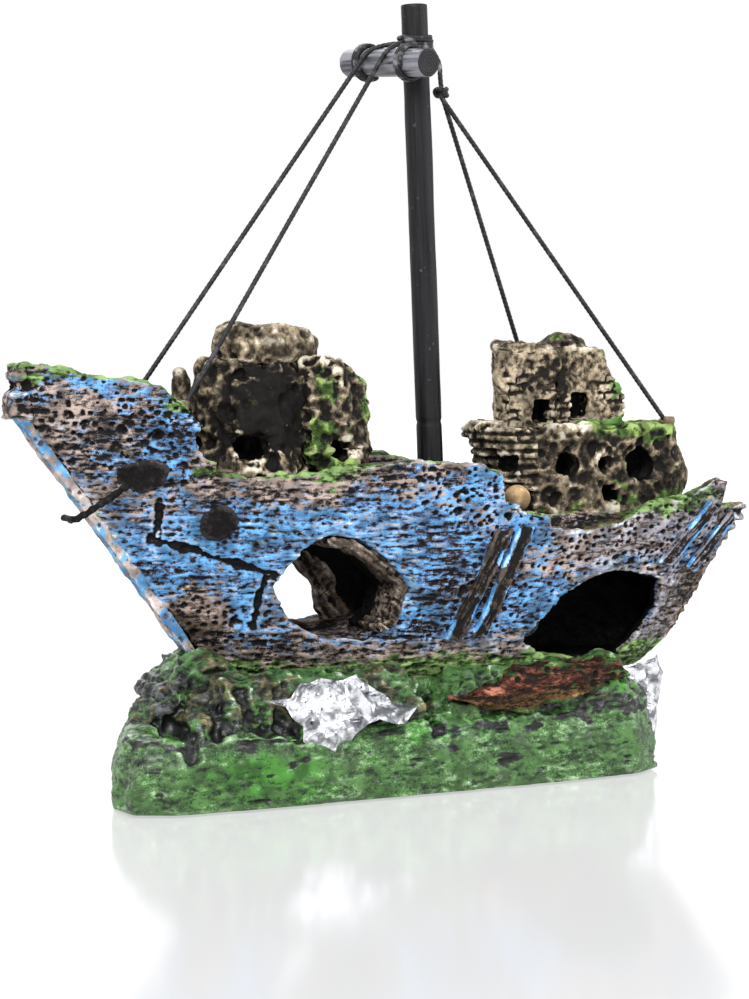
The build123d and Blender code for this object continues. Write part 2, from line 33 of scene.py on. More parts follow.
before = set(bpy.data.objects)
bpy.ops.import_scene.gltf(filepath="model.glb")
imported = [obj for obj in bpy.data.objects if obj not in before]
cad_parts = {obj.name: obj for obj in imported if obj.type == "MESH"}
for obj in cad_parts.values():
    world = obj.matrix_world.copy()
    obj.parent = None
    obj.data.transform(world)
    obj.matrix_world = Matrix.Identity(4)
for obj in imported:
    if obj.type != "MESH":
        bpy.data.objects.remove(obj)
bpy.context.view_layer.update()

VOXEL = 0.30     # edge length of the hull's skin, in mm
FINE = 0.25      # of the stem bar, timbers and castle
SMALL = 0.24                             # of the dark fittings, tunnel wood and pebble


# ---- stage ----
CAMERA_TURN = radians(-25.0)
CAMERA_PITCH = radians(4.0)
CAMERA_DISTANCE = 0.450
CAMERA_HEIGHT = 0.080
CAMERA_AIM_X = -0.004
CAMERA_LENS = 92.4
LAMPS = [
    # name, place, width, watts
    ("Key", (-0.42, -0.62, 0.62), 0.45, 7.0),
    ("Fill", (0.65, -0.35, 0.35), 0.5, 2.2),
    ("Back", (0.1, 0.7, 0.6), 0.5, 2.5),
]
LAMP_AIM = Vector((0.0, 0.0, 0.05))
FLOOR_HALF = 1.5
FLOOR_DROP = 0.0004       # keeps the floor clear of the base's underside


def link(item):
    """Put an object into the scene."""
    bpy.context.scene.collection.objects.link(item)
    return item


def make_camera():
    """Camera at the picture's viewing angle."""
    data = bpy.data.cameras.new("Camera")
    data.lens = CAMERA_LENS
    data.sensor_width = 36.0
    data.clip_start = 0.01
    camera = link(bpy.data.objects.new("Camera", data))
    back = Vector((sin(CAMERA_TURN), -cos(CAMERA_TURN), 0.0))
    camera.location = back * CAMERA_DISTANCE + Vector((CAMERA_AIM_X, 0.0, CAMERA_HEIGHT))
    camera.rotation_euler = (pi / 2 - CAMERA_PITCH, 0.0, CAMERA_TURN)
    bpy.context.scene.camera = camera


def make_lamp(name, place, size, watts):
    """Square soft box that looks at the middle of the ornament."""
    data = bpy.data.lights.new(name, "AREA")
    data.size = size
    data.energy = watts
    lamp = link(bpy.data.objects.new(name, data))
    lamp.location = place
    lamp.rotation_euler = (LAMP_AIM - Vector(place)).to_track_quat("-Z", "Y").to_euler()


def make_world():
    """White surroundings, dimmer as light than as backdrop and in reflections."""
    world = bpy.data.worlds.new("Studio")
    bpy.context.scene.world = world
    world.use_nodes = True
    nodes, links = world.node_tree.nodes, world.node_tree.links
    backdrop = nodes["Background"]
    backdrop.inputs["Color"].default_value = (1, 1, 1, 1)
    backdrop.inputs["Strength"].default_value = 1.0
    ambient = nodes.new("ShaderNodeBackground")
    ambient.inputs["Color"].default_value = (0.96, 0.98, 1, 1)
    ambient.inputs["Strength"].default_value = 0.5
    rays = nodes.new("ShaderNodeLightPath")
    mix = nodes.new("ShaderNodeMixShader")
    seen = nodes.new("ShaderNodeMath")
    seen.operation = "MAXIMUM"
    links.new(rays.outputs["Is Camera Ray"], seen.inputs[0])
    links.new(rays.outputs["Is Glossy Ray"], seen.inputs[1])
    links.new(seen.outputs[0], mix.inputs[0])
    links.new(ambient.outputs[0], mix.inputs[1])
    links.new(backdrop.outputs[0], mix.inputs[2])
    links.new(mix.outputs[0], nodes["World Output"].inputs["Surface"])


def make_floor():
    """Pale, faintly glossy table top."""
    mesh = bpy.data.meshes.new("Floor")
    turns = [(-1, -1), (1, -1), (1, 1), (-1, 1)]
    mesh.from_pydata([(x * FLOOR_HALF, y * FLOOR_HALF, 0) for x, y in turns], [], [range(4)])
    floor = link(bpy.data.objects.new("Floor", mesh))
    floor.location.z = -FLOOR_DROP
    paint = Paint("floor_white", roughness=0.12, specular=0.5)
    paint.surface.inputs["Emission Color"].default_value = (1, 1, 1, 1)
    paint.surface.inputs["Emission Strength"].default_value = 0.5
    paint.finish(paint.mix(paint.noise(90), shade(150, 150, 151), shade(154, 154, 154)))
    mesh.materials.append(paint.material)


# ---- noise on points in mm ----
def hashed(cells, seed):
    """Repeatable random numbers, 0 to 1, for whole-number cells, by a common integer hash."""
    cells = cells.astype(np.int64)
    mixed = cells[:, 0] * 73856093 ^ cells[:, 1] * 19349663 ^ cells[:, 2] * 83492791
    mixed = (mixed ^ seed * 2654435761) & 0xFFFFFFFF
    mixed = ((mixed ^ (mixed >> 15)) * 2246822519) & 0xFFFFFFFF
    mixed = ((mixed ^ (mixed >> 13)) * 3266489917) & 0xFFFFFFFF
    return ((mixed ^ (mixed >> 16)) & 0xFFFFFF) / 0xFFFFFF


def waves(points, size, seed):
    """Smooth noise from -1 to 1 with features of about the size, one number or three."""
    scaled = points / np.asarray(size, float)
    cell = np.floor(scaled)
    t = scaled - cell
    t = t * t * (3 - 2 * t)
    total = np.zeros(len(points))
    for corner in product((0, 1), repeat=3):
        weight = np.prod(np.where(corner, t, 1 - t), axis=1)
        total += weight * hashed(cell + corner, seed)
    return total * 2 - 1


def fbm(points, size, seed, octaves=3):
    """Noise with finer noise on top, about -1 to 1."""
    total = np.zeros(len(points))
    for octave in range(octaves):
        share = 0.5 ** octave
        total += share * waves(points, np.asarray(size, float) * share, seed + octave)
    return total


def ridges(points, size, seed):
    """1 along winding crests and lower away from them."""
    return 1 - 2.4 * np.abs(fbm(points, size, seed, 2))


def pits(points, size, seed, share):
    """1 in the middle of round pits of mixed widths, in a share of the cells, 0 elsewhere."""
    scaled = points / np.asarray(size, float)
    base = np.floor(scaled)
    depth = np.zeros(len(points))
    for offset in product((-1, 0, 1), repeat=3):
        cell = base + offset
        centre = cell + np.column_stack([hashed(cell, seed + axis) for axis in range(3)])
        width = 0.18 + 0.34 * hashed(cell, seed + 3)
        width = np.where(hashed(cell, seed + 4) < share, width, 1e-6)
        distance = np.linalg.norm(scaled - centre, axis=1)
        depth = np.maximum(depth, step(distance / width, 1.15, 0.55))
    return depth


def step(values, low, high):
    """0 at low, 1 at high, smooth between them."""
    t = np.clip((values - low) / (high - low), 0, 1)
    return t * t * (3 - 2 * t)


def spots(points, marks):
    """Sum of soft ovals in side view: x, z, x radius, z radius, weight."""
    total = np.zeros(len(points))
    for x, z, across, up, weight in marks:
        reach = ((points[:, 0] - x) / across) ** 2 + ((points[:, 2] - z) / up) ** 2
        total += weight * np.exp(-reach)
    return total


def from_line(points, line):
    """Distance in side view from a line of (x, z) points."""
    flat = points[:, [0, 2]]
    nearest = np.full(len(points), 1e3)
    for start, end in zip(line[:-1], line[1:]):
        start = np.array(start)
        run = np.array(end) - start
        t = np.clip(((flat - start) @ run) / (run @ run), 0, 1)
        nearest = np.minimum(nearest, np.linalg.norm(flat - start - t[:, None] * run, axis=1))
    return nearest


def turned(points, degrees):
    """Points with x along a line that falls by the angle towards the stern."""
    c, s = cos(radians(degrees)), sin(radians(degrees))
    x, y, z = points.T
    return np.column_stack([x * c - z * s, y, x * s + z * c])


def mortar(across, up, length, height):
    """1 in the joints of a brick wall, 0 on the bricks."""
    course = np.floor(up / height)
    shift = across / length + 0.5 * (course % 2)
    bed = np.abs(up / height - np.round(up / height)) * height
    head = np.abs(shift - np.round(shift)) * length
    return step(np.minimum(bed, head), 0.42, 0.14)


# ---- shaping meshes ----
def read(items, name, width, kind=float):
    """One property of a mesh's items as rows."""
    values = np.empty(len(items) * width, np.int32 if kind is int else np.float32)
    items.foreach_get(name, values)
    return values.reshape(-1, width).astype(kind)


def evaluated(data, modifier=None, **settings):
    """Mesh that a curve or mesh gives, with a modifier applied if one is named."""
    carrier = link(bpy.data.objects.new("carrier", data))
    if modifier:
        added = carrier.modifiers.new(modifier, modifier)
        for name, value in settings.items():
            setattr(added, name, value)
    ready = carrier.evaluated_get(bpy.context.evaluated_depsgraph_get())
    mesh = bpy.data.meshes.new_from_object(ready)
    bpy.data.objects.remove(carrier)
    return mesh


def cad_union(nodes, voxel):
    """One closed, even mesh round several CAD solids, in mm."""
    points, faces, start = [], [], 0
    for node in nodes:
        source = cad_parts[node].data
        source.calc_loop_triangles()
        points.append(read(source.vertices, "co", 3) * 1000)
        faces.append(read(source.loop_triangles, "vertices", 3, int) + start)
        start += len(source.vertices)
    mesh = bpy.data.meshes.new("solids")
    mesh.from_pydata(np.concatenate(points), [], np.concatenate(faces).tolist())
    return evaluated(mesh, "REMESH", mode="VOXEL", voxel_size=voxel)


def face_mesh(points, faces):
    """Mesh from rows of points and lists of corners, in mm."""
    mesh = bpy.data.meshes.new("shape")
    mesh.from_pydata(np.asarray(points).tolist(), [], [list(map(int, face)) for face in faces])
    return mesh


class Skin:
    """A mesh's surface as arrays in mm, while it is shaped."""

    def __init__(self, mesh):
        self.mesh = mesh
        self.points = read(mesh.vertices, "co", 3)
        self.ends = read(mesh.edges, "vertices", 2, int)
        self.links = np.bincount(self.ends.ravel(), minlength=len(self.points))
        self.masks = {}

    def mean(self, values):
        """Halfway between each vertex's value and its neighbours' mean."""
        if values.ndim == 2:
            return np.column_stack([self.mean(column) for column in values.T])
        first, second = self.ends.T
        total = np.bincount(first, values[second], len(values))
        total += np.bincount(second, values[first], len(values))
        return (values + total / self.links) / 2

    def blurred(self, values, rounds):
        """Values after several rounds of taking that mean."""
        for _ in range(rounds):
            values = self.mean(values)
        return values

    def normals(self):
        """Directions square to the surface at each vertex."""
        self.mesh.vertices.foreach_set("co", self.points.astype(np.float32).ravel())
        self.mesh.update()
        return read(self.mesh.vertex_normals, "vector", 3)

    def push(self, amount):
        """Move the surface out along its normals, in mm."""
        self.points = self.points + self.normals() * amount[:, None]

    def weigh_relief(self, rounds, height):
        """Mask of how far the surface stands over its own blurred self."""
        away = self.points - self.blurred(self.points, rounds)
        self.masks["relief"] = np.clip((away * self.normals()).sum(axis=1) / height, -2, 2)

    def finish(self, name, material, slot, nodes, body="ship", smooth=True):
        """Turn the skin into an object in metres, and hide the CAD nodes it stands in for."""
        self.mesh.vertices.foreach_set("co", (self.points * 0.001).astype(np.float32).ravel())
        for mask, values in self.masks.items():
            attribute = self.mesh.attributes.new(mask, "FLOAT", "POINT")
            attribute.data.foreach_set("value", values.astype(np.float32))
        self.mesh.name = name
        self.mesh.polygons.foreach_set("use_smooth", [smooth] * len(self.mesh.polygons))
        self.mesh.materials.clear()
        self.mesh.materials.append(material)
        self.mesh.update()
        piece = link(bpy.data.objects.new(name, self.mesh))
        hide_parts(*nodes)
        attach(piece, body)
        return piece


def casting(nodes, voxel, rounds):
    """Skin round CAD solids, its edges rounded by blurring."""
    skin = Skin(cad_union(nodes, voxel))
    skin.points = skin.blurred(skin.points, rounds)
    return skin


# ---- materials ----
def shade(red, green, blue):
    """Linear colour of a screen colour given from 0 to 255."""
    return tuple(((part / 255 + 0.055) / 1.055) ** 2.4 for part in (red, green, blue)) + (1.0,)


class Paint:
    """Short calls for building one material's nodes, in mm."""

    def __init__(self, name, roughness=0.6, specular=0.3):
        self.material = bpy.data.materials.new(name)
        self.material.use_nodes = True
        self.tree = self.material.node_tree
        self.surface = self.tree.nodes["Principled BSDF"]
        self.surface.inputs["Roughness"].default_value = roughness
        self.surface.inputs["Specular IOR Level"].default_value = specular
        self.place = self.add("ShaderNodeTexCoord").outputs["Object"]

    def add(self, kind, inputs=None, **settings):
        """New node with its settings, its inputs fed by name or number."""
        node = self.tree.nodes.new(kind)
        for name, value in settings.items():
            setattr(node, name, value)
        for name, value in (inputs or {}).items():
            self.feed(value, node.inputs[name])
        return node

    def feed(self, value, socket):
        """Link another node's output to a socket, or set the socket's value."""
        if isinstance(value, bpy.types.NodeSocket):
            self.tree.links.new(value, socket)
        else:
            socket.default_value = value

    def stretched(self, size, turn):
        """Coordinates, turned in degrees, in which features of the size in mm are one unit."""
        sizes = size if isinstance(size, tuple) else (size, size, size)
        rotated = self.add("ShaderNodeMapping", {
            "Vector": self.place, "Rotation": tuple(radians(part) for part in turn)})
        return self.add("ShaderNodeMapping", {
            "Vector": rotated.outputs[0], "Scale": tuple(1000 / part for part in sizes)}).outputs[0]

    def noise(self, size, detail=2.0, turn=(0.0, 0.0, 0.0)):
        """Noise from 0 to 1 with features of the size in mm."""
        return self.add("ShaderNodeTexNoise", {
            "Vector": self.stretched(size, turn), "Scale": 1.0, "Detail": detail}).outputs["Fac"]

    def mask(self, name):
        """One of the skin's masks."""
        return self.add("ShaderNodeAttribute", attribute_name=name).outputs["Fac"]

    def sum(self, *parts, operation="ADD"):
        """Parts added up, or joined by another operation."""
        total = parts[0]
        for part in parts[1:]:
            total = self.add("ShaderNodeMath", {0: total, 1: part}, operation=operation).outputs[0]
        return total

    def times(self, *parts):
        """Parts multiplied together."""
        return self.sum(*parts, operation="MULTIPLY")

    def step(self, value, low, high, least=0.0, most=1.0):
        """From least at low to most at high, smooth between them."""
        return self.add("ShaderNodeMapRange", {
            "Value": value, "From Min": low, "From Max": high, "To Min": least, "To Max": most,
        }, interpolation_type="SMOOTHSTEP").outputs[0]

    def mix(self, share, under, over):
        """A share of one colour over another."""
        node = self.add("ShaderNodeMix", data_type="RGBA")
        for socket, value in zip([node.inputs[0], node.inputs[6], node.inputs[7]],
                                 [share, under, over]):
            self.feed(value, socket)
        return node.outputs[2]

    def finish(self, colour, roughness=None, bump=None, depth=0.12):
        """Connect the colour, and a roughness and a bump height if given."""
        self.feed(colour, self.surface.inputs["Base Color"])
        if roughness is not None:
            self.feed(roughness, self.surface.inputs["Roughness"])
        if bump is not None:
            node = self.add("ShaderNodeBump", {
                "Height": bump, "Strength": 0.7, "Distance": depth * 0.001})
            self.feed(node.outputs[0], self.surface.inputs["Normal"])
        return self.material


def dry_brushed(name, undercoat, coats, roughness=(0.75, 0.55), specular=0.12, grain=0.5,
                stroke=(2.0, 2.0, 2.0), broken=1.0, cover=1.0):
    """Paint in coats that catch what stands high: colour, low, high, mask or None."""
    paint = Paint(name, roughness[0], specular)
    speckle = paint.noise(tuple(grain * part / max(stroke) * 2.0 for part in stroke), 3.0)
    crumbs = paint.noise(grain * 0.42, 2.0)
    patchy = paint.noise(tuple(part * 2.2 for part in stroke), 2.0)
    height = paint.sum(
        paint.times(paint.mask("relief"), cover),
        paint.times(paint.sum(speckle, -0.5), 3.0 * broken),
        paint.times(paint.sum(crumbs, -0.5), 2.2 * broken),
        paint.times(paint.sum(patchy, -0.5), 1.5 * broken))
    ragged = paint.times(paint.sum(paint.noise(stroke, 4.0), -0.5), 2.4)
    tint = paint.noise(3.2, 4.0)
    colour = paint.mix(tint, shade(*undercoat), shade(*[part * 1.4 + 3 for part in undercoat]))
    for coat, low, high, mask in coats:
        share = paint.step(height, low, high)
        if mask:
            share = paint.times(
                share, paint.step(paint.sum(paint.mask(mask), ragged), 0.34, 0.66))
        darker = shade(*[part * 0.74 for part in coat])
        lighter = shade(*[min(255, part * 1.12 + 6) for part in coat])
        colour = paint.mix(share, colour, paint.mix(paint.step(tint, 0.35, 0.65), darker, lighter))
    shine = paint.step(speckle, 0.3, 0.7, *roughness)
    return paint.finish(colour, shine, paint.sum(speckle, paint.times(crumbs, 0.6)))


TAN = (178, 158, 148)
BLUE = (108, 171, 226)
MOSS = (96, 138, 68)
# Painted shade: near-black over the black undercoat, laid on the cavities, deep recesses and
# windows that the black mask marks.
PAINTED_SHADE_BLACK = ((5, 5, 5), -9.0, -8.9, "black")    # covers all that its mask marks
MATERIALS = {
    "hull": dry_brushed("hull_paint", (20, 18, 19), [
        ((98, 88, 84), -0.55, 0.0, "tan"),
        (TAN, 0.0, 0.8, "tan"),
        ((66, 118, 176), -0.25, 0.25, "blue"),
        (BLUE, 0.05, 0.7, "blue"),
        ((158, 162, 178), 0.2, 0.9, "bleach"),
        ((214, 220, 228), 1.0, 1.8, "bleach"),
        ((92, 74, 56), -0.4, 0.4, "brown"),
        ((146, 122, 96), 0.5, 1.3, "brown"),
        ((64, 88, 44), -0.7, 0.0, "moss"),
        ((140, 172, 106), 0.2, 1.1, "moss"),
        PAINTED_SHADE_BLACK,
    ], grain=0.55, stroke=(2.6, 2.6, 0.9)),
    "stem": dry_brushed("stem_paint", (70, 66, 70), [
        ((188, 174, 168), -0.8, 0.0, None),
        ((110, 174, 234), -0.9, 0.0, "blue"),
        ((228, 226, 226), 0.7, 1.5, None),
    ]),
    "timber": dry_brushed("timber_paint", (24, 21, 20), [
        ((84, 72, 64), 0.1, 0.9, None),
        ((146, 142, 152), 0.0, 0.9, "tan"),
        ((92, 162, 228), -0.6, 0.3, "blue"),
        ((176, 210, 238), 0.9, 1.7, "blue"),
    ], grain=0.6, stroke=(1.4, 1.4, 1.4)),
    "fitting": dry_brushed("dark_fitting", (17, 15, 16), [
        ((52, 48, 50), 0.1, 1.2, None),
        ((112, 106, 106), 1.5, 2.4, None),
    ]),
    "bark": dry_brushed("bark_paint", (18, 15, 14), [
        ((108, 94, 82), -0.5, 0.4, "tan"),
        ((178, 166, 152), 0.5, 1.4, "tan"),
        PAINTED_SHADE_BLACK,
    ]),
    "rock": dry_brushed("rock_paint", (17, 15, 14), [
        ((72, 63, 52), -0.5, 0.4, "tan"),
        ((150, 134, 110), 0.3, 1.2, "tan"),
        ((224, 213, 194), 1.2, 2.0, "tan"),
        ((66, 90, 42), -0.6, 0.1, "moss"),
        ((152, 176, 100), 0.3, 1.2, "moss"),
        PAINTED_SHADE_BLACK,
    ], grain=0.45, stroke=(1.6, 1.6, 1.6), cover=1.25, broken=0.8),
    "brick": dry_brushed("brick_paint", (25, 21, 18), [
        ((98, 86, 70), -0.7, 0.0, "tan"),
        ((180, 163, 138), -0.1, 0.8, "tan"),
        ((228, 216, 194), 1.0, 1.9, "tan"),
        (MOSS, -0.5, 0.5, "moss"),
        PAINTED_SHADE_BLACK,
    ], grain=0.45, cover=1.3, broken=0.9),
    "reef": dry_brushed("reef_paint", (15, 20, 16), [
        ((70, 68, 42), -0.6, 0.4, "olive"),
        ((128, 118, 82), 0.8, 1.7, "olive"),
        ((42, 72, 36), -1.5, -0.7, "green"),
        ((74, 114, 58), -0.8, 0.2, "green"),
        ((62, 124, 40), -1.0, 0.0, "vivid"),
        ((138, 168, 126), 0.2, 1.2, "pale"),
        # Palest coat on the highest crests: partly pale dry-brush, partly a painted highlight.
        ((206, 220, 196), 1.6, 2.5, "green"),
        ((12, 14, 14), -9.0, -8.9, "black"),
        ((84, 88, 88), 0.5, 1.5, "black"),
    ], roughness=(0.5, 0.26), specular=0.4, grain=0.6, stroke=(3.4, 3.4, 1.7), broken=1.6),
    "rust": dry_brushed("rust_paint", (24, 20, 16), [
        ((104, 56, 42), -0.5, 0.4, "red"),
        ((178, 118, 98), 0.4, 1.2, "red"),
        ((92, 70, 38), -0.6, 0.3, "ochre"),
        ((160, 128, 88), 0.6, 1.4, "ochre"),
        ((60, 92, 44), -0.9, 0.1, "moss"),
        ((134, 158, 112), 0.6, 1.5, "moss"),
    ], stroke=(2.4, 2.4, 0.9)),
    "pebble": dry_brushed("pebble_paint", (90, 70, 50), [
        ((190, 158, 116), -1.4, -0.4, None),
        ((224, 200, 160), 0.3, 1.2, None),
    ], broken=0.5),
    "stone": dry_brushed("air_stone", (52, 58, 68), [
        ((104, 112, 124), -0.4, 0.4, None),
        ((150, 158, 168), 0.6, 1.4, None),
    ], roughness=(0.95, 0.9), grain=0.3),
}


# ---- hull ----
def hull_depth(points):
    """How far points are inside the hull's side and its transom, in mm, by the CAD's lines."""
    x, y, z = points.T
    levels = [17.0, 24.0, 34.0, 44.0, 54.0, 65.5, 74.0]
    half = np.interp(z, levels, [10.0, 12.8, 15.4, 17.2, 18.0, 18.4, 18.4])
    stern = np.interp(z, levels, [47.6, 55.0, 61.0, 68.4, 71.0, 71.0, 71.0])
    bow = -36.6 - 0.733 * (np.minimum(z, 65.5) - 23.0)
    share = (x - bow) / (stern - bow)
    fullness = np.interp(share, [0.0, 0.1, 0.28, 0.5, 0.74, 0.92, 1.0],
                         [0.1, 0.4, 0.8, 1.0, 0.96, 0.72, 0.4])
    return np.minimum(half * fullness - np.abs(y), stern - x)


AFT_DECK = 44.0                        # height of its top
TUNNEL_FORE, TUNNEL_AFT = -30, -3      # limits of the tunnel and of the cavity in x
CAVITY_AFT = 66
SEAMS = [
    # line of (x, z) points along a dark joint in the planking
    [(-46.4, 50.0), (-46.2, 43.6)],
    [(-47.4, 43.4), (-42.6, 42.0), (-39.4, 41.2)],
    [(-38.6, 40.6), (-33.0, 38.9), (-27.8, 37.2), (-26.6, 36.4)],
    [(-28.6, 36.4), (-29.2, 32.6), (-29.6, 27.6)],
]
BLUE_MARKS = [
    (-47, 39, 9, 6, 0.9), (-45.5, 60, 3.5, 6, 0.9), (-60, 70.5, 6, 2.5, 0.6),
    (-31, 44, 11, 5, 0.8), (-9, 45.5, 9, 4, 1.2), (2, 40, 7, 4.5, 1.2),
    (9, 51.5, 6, 3, 0.7), (17, 46, 3.5, 5, 0.9), (22, 30.5, 6, 4, 1),
    (-2, 27.5, 14, 1.8, 1), (-31, 33, 3, 6, 0.8), (50, 37.5, 9, 2.2, 0.8),
    (-62, 63, 7, 4, -0.5), (-26, 51.5, 12, 2.4, -0.5), (-41, 29, 6, 5, -0.5),
    (8, 34, 6, 4, -0.3), (36, 42, 10, 4, -0.3), (62, 40, 5, 9, -0.6),
    (4, 29.5, 12, 3, 0.6),
]
PITTED_MARKS = [
    (-51, 62, 9, 5.5, 1), (5, 50, 9, 5, 1), (14, 47, 6, 6, 0.8),
    (25, 39, 9, 5, 0.9), (-36, 28, 8, 4, 0.7), (8, 30, 8, 5, 0.7),
    (46, 42, 14, 5, 0.7), (-60, 67, 8, 3, 0.7), (-4, 44, 8, 3.5, -0.8),
    (3, 39.5, 6, 3, -0.6),
]
# Partly painted shade, under the rim and beside the timbers, and partly darker paint, as on the
# pitted bow.
SHADE_AND_DARK_PAINT_MARKS = [
    (-50, 61, 8, 5, 1), (-67, 66, 3.5, 6, 1), (-58, 60, 4, 7, 0.5),
    (-47, 29, 4, 9, 0.9), (-30, 24, 14, 4, 0.8), (4, 33, 6, 6, 1),
    (-2, 54, 9, 2, 0.8), (4, 45, 8, 3.5, 0.5), (14, 36, 3, 8, 0.8),
    (24, 36, 5, 6, 0.5), (40, 40, 9, 2, 0.5), (58, 32, 6, 8, 0.6),
    (-20, 50, 14, 1.6, 0.5), (-38, 50, 3, 5, 0.6), (-8, 26, 10, 2.4, 0.8),
    (-40, 26, 6, 4, 0.8),
]
PALE_MARKS = [
    (-6, 45, 14, 6, 1), (-46, 47, 8, 5, 0.6), (-31, 34, 6, 5, 0.6),
    (0, 25.5, 30, 3, 1.2),
]
HOLED_MARKS = [
    (-50, 62, 8, 5, 1), (-66, 69, 4, 4, 0.8), (4, 51.5, 7, 3, 0.5),
]
BROWN_MARKS = [(-40, 27, 6, 5, 1), (58, 27, 7, 10, 1)]
RIM_MOSS_MARKS = [
    (-56, 71.6, 9, 1.2, 1.1), (-43, 66.4, 3, 2.2, 1.2), (-67, 71, 2.4, 2.5, 0.9),
    (-30, 54.8, 9, 1.3, 1.1), (-18, 54, 5, 2.4, 0.9), (44, 46.8, 8, 1.4, 1.1),
    (55, 48.5, 4, 1.8, 0.9),
]


def hull_zones(points, normals):
    """Masks of the hull's outside, decks, tunnel, cavity, edges and dark joints."""
    x, y, z = points.T
    up = normals[:, 2]
    depth = hull_depth(points)
    outer = step(depth, 2.2, 1.2) * step(normals[:, 1] * np.sign(y), -0.5, -0.2)
    below_deck = (1 - outer) * step(z, 45.5, 44.2) * step(z, 26.0, 27.0)
    tunnel = below_deck * (x > TUNNEL_FORE) * (x < TUNNEL_AFT)
    seam = np.zeros(len(points))
    for line in SEAMS:
        away = from_line(points, line) + 0.45 * fbm(points, 1.4, 15, 2)
        seam = np.maximum(seam, step(away, 0.85, 0.3))
    seam *= outer * step(up, 0.7, 0.5) * step(fbm(points, 2.0, 18, 2), -0.9, -0.45)
    return SimpleNamespace(
        outer=outer, tunnel=tunnel, seam=seam,
        open_deck=step(up, 0.5, 0.8) * step(z, AFT_DECK - 2, AFT_DECK),
        dead_end=tunnel * step(y, -2.0, 0.5) * step(x + 0.9 * z, 18.5, 20.5),
        cavity=(1 - outer) * step(x, -4.0, -2.5) * step(z, 43.6, 42.6) * (x < CAVITY_AFT),
        rim=step(np.abs(up), 0.2, 0.7) * outer * step(z, AFT_DECK - 2, AFT_DECK),
        brink=4 * step(depth, 2.6, 0.6) * step(depth, 0.6, 2.6) * step(z, 43.0, 41.5) * (z > 26))


def hull_relief(points, zone):
    """How far the hull's surface stands out: strokes of resin, worm holes and torn edges."""
    x, y, z = points.T
    pitted = np.clip(0.35 + spots(points, PITTED_MARKS), 0.05, 1)
    holed = np.clip(spots(points, HOLED_MARKS), 0, 1)
    swell = 0.45 * fbm(points, 9.0, 11, 2)
    crowd = step(fbm(points, 5.0, 16, 2), -0.5, 0.6)
    strokes = fbm(points, (2.8, 2.8, 0.62), 21, 2) * (1 - 0.55 * pitted)
    dashes = step(fbm(points, (2.6, 2.6, 0.6), 26, 2), 0.34, 0.62) * (1 - 0.6 * pitted) * crowd
    worm = pits(points, (1.25, 1.25, 1.0), 31, 0.85) * pitted
    holes = pits(points, (2.2, 2.2, 1.9), 36, 0.5) * pitted * crowd
    holes = np.maximum(holes, pits(points, (3.0, 3.0, 2.5), 41, 0.9) * holed)
    teeth = np.sin(z * 2 * pi / 1.9 + 0.6 * y) * step(x, 60.0, 66.0) * step(z, 38.0, 41.0)
    notch = step(np.abs(z - 69.2), 1.4, 0.3) * step(x, -66.5, -69.0)
    rags = 0.7 * fbm(points, 2.6, 51, 2) * zone.rim
    amount = zone.outer * (swell + 0.34 * strokes - 0.32 * dashes - 0.62 * worm - 0.9 * holes
                           + 0.4 * teeth)
    amount += rags - 0.9 * zone.seam - 1.4 * notch
    return amount + (1 - zone.outer) * 0.3 * fbm(points, 3.0, 61, 3)


def hull_paint(points, zone):
    """Masks of the hull's coats of paint."""
    x, y, z = points.T
    cloud = fbm(points, (5.0, 5.0, 2.6), 81, 3)
    aft = step(x, 18.0, 40.0)
    moss = spots(points, RIM_MOSS_MARKS) * step(y, 20.0, 6.0) + step(z, 23.5, 20.0)
    moss += 0.25 * zone.rim * (x < 10) + 0.5 * zone.open_deck
    blue = 0.42 + spots(points, BLUE_MARKS) - 0.6 * step(z, 24.5, 20.5) - 0.25 * aft
    blue = np.clip(np.minimum(blue + 0.25 * cloud, 0.9) + 0.9 * zone.brink, 0, 1.2)
    bare = np.clip(1 - 1.2 * zone.seam - 1.2 * zone.dead_end, 0, 1)
    bleach = 0.25 + 0.5 * zone.rim + 0.5 * aft + 0.3 * cloud + 0.3 * spots(points, PALE_MARKS)
    brown = 0.85 * zone.tunnel + zone.open_deck * (x > 10)
    brown += 0.3 * step(z, 30.0, 23.0) * step(cloud, -0.2, 0.4)
    brown += 0.8 * spots(points, BROWN_MARKS)
    ragged = np.clip(0.9 * moss + 0.35 * fbm(points, 2.4, 91, 3), 0, 1.2)
    return {
        "tan": bare * (0.6 + 0.4 * zone.outer),
        "blue": blue * np.maximum(zone.outer, zone.brink) * (1 - zone.seam),
        "bleach": np.clip(bleach, 0, 1),
        "moss": ragged * ((1 - zone.cavity) * (moss > 0.15)),
        "brown": np.clip(brown, 0, 1),
        # Painted shade: the stern cavity and the tunnel's dead end are laid near-black.
        "black": np.clip(zone.cavity + zone.dead_end, 0, 1),
    }


def make_hull():
    """Cast hull, closed aft deck and the bow's nose, as one weathered skin."""
    nodes = ["hull", "aft_deck", "bow_nose"]
    skin = casting(nodes, VOXEL, 6)
    points = skin.points
    y, z = points[:, 1], points[:, 2]
    zone = hull_zones(points, skin.normals())
    skin.push(hull_relief(points, zone))
    skin.push(0.12 * fbm(points, 1.1, 71, 2))
    skin.weigh_relief(12, 0.17)
    # Darker in side-view spots: painted shade under the rim and beside the timbers, darker paint on
    # the pitted bow.
    shade_and_dark_paint = np.clip(spots(points, SHADE_AND_DARK_PAINT_MARKS) * step(y, 10.0, -2.0), 0, 1.2)
    skin.masks["relief"] += zone.outer * (
        0.27 - 0.75 * shade_and_dark_paint + 0.3 * fbm(points, 4.0, 76, 2) + 0.2 * step(z, 27.0, 23.0))
    skin.masks.update(hull_paint(points, zone))
    skin.finish("wreck_hull", MATERIALS["hull"], "painted_hull", nodes)


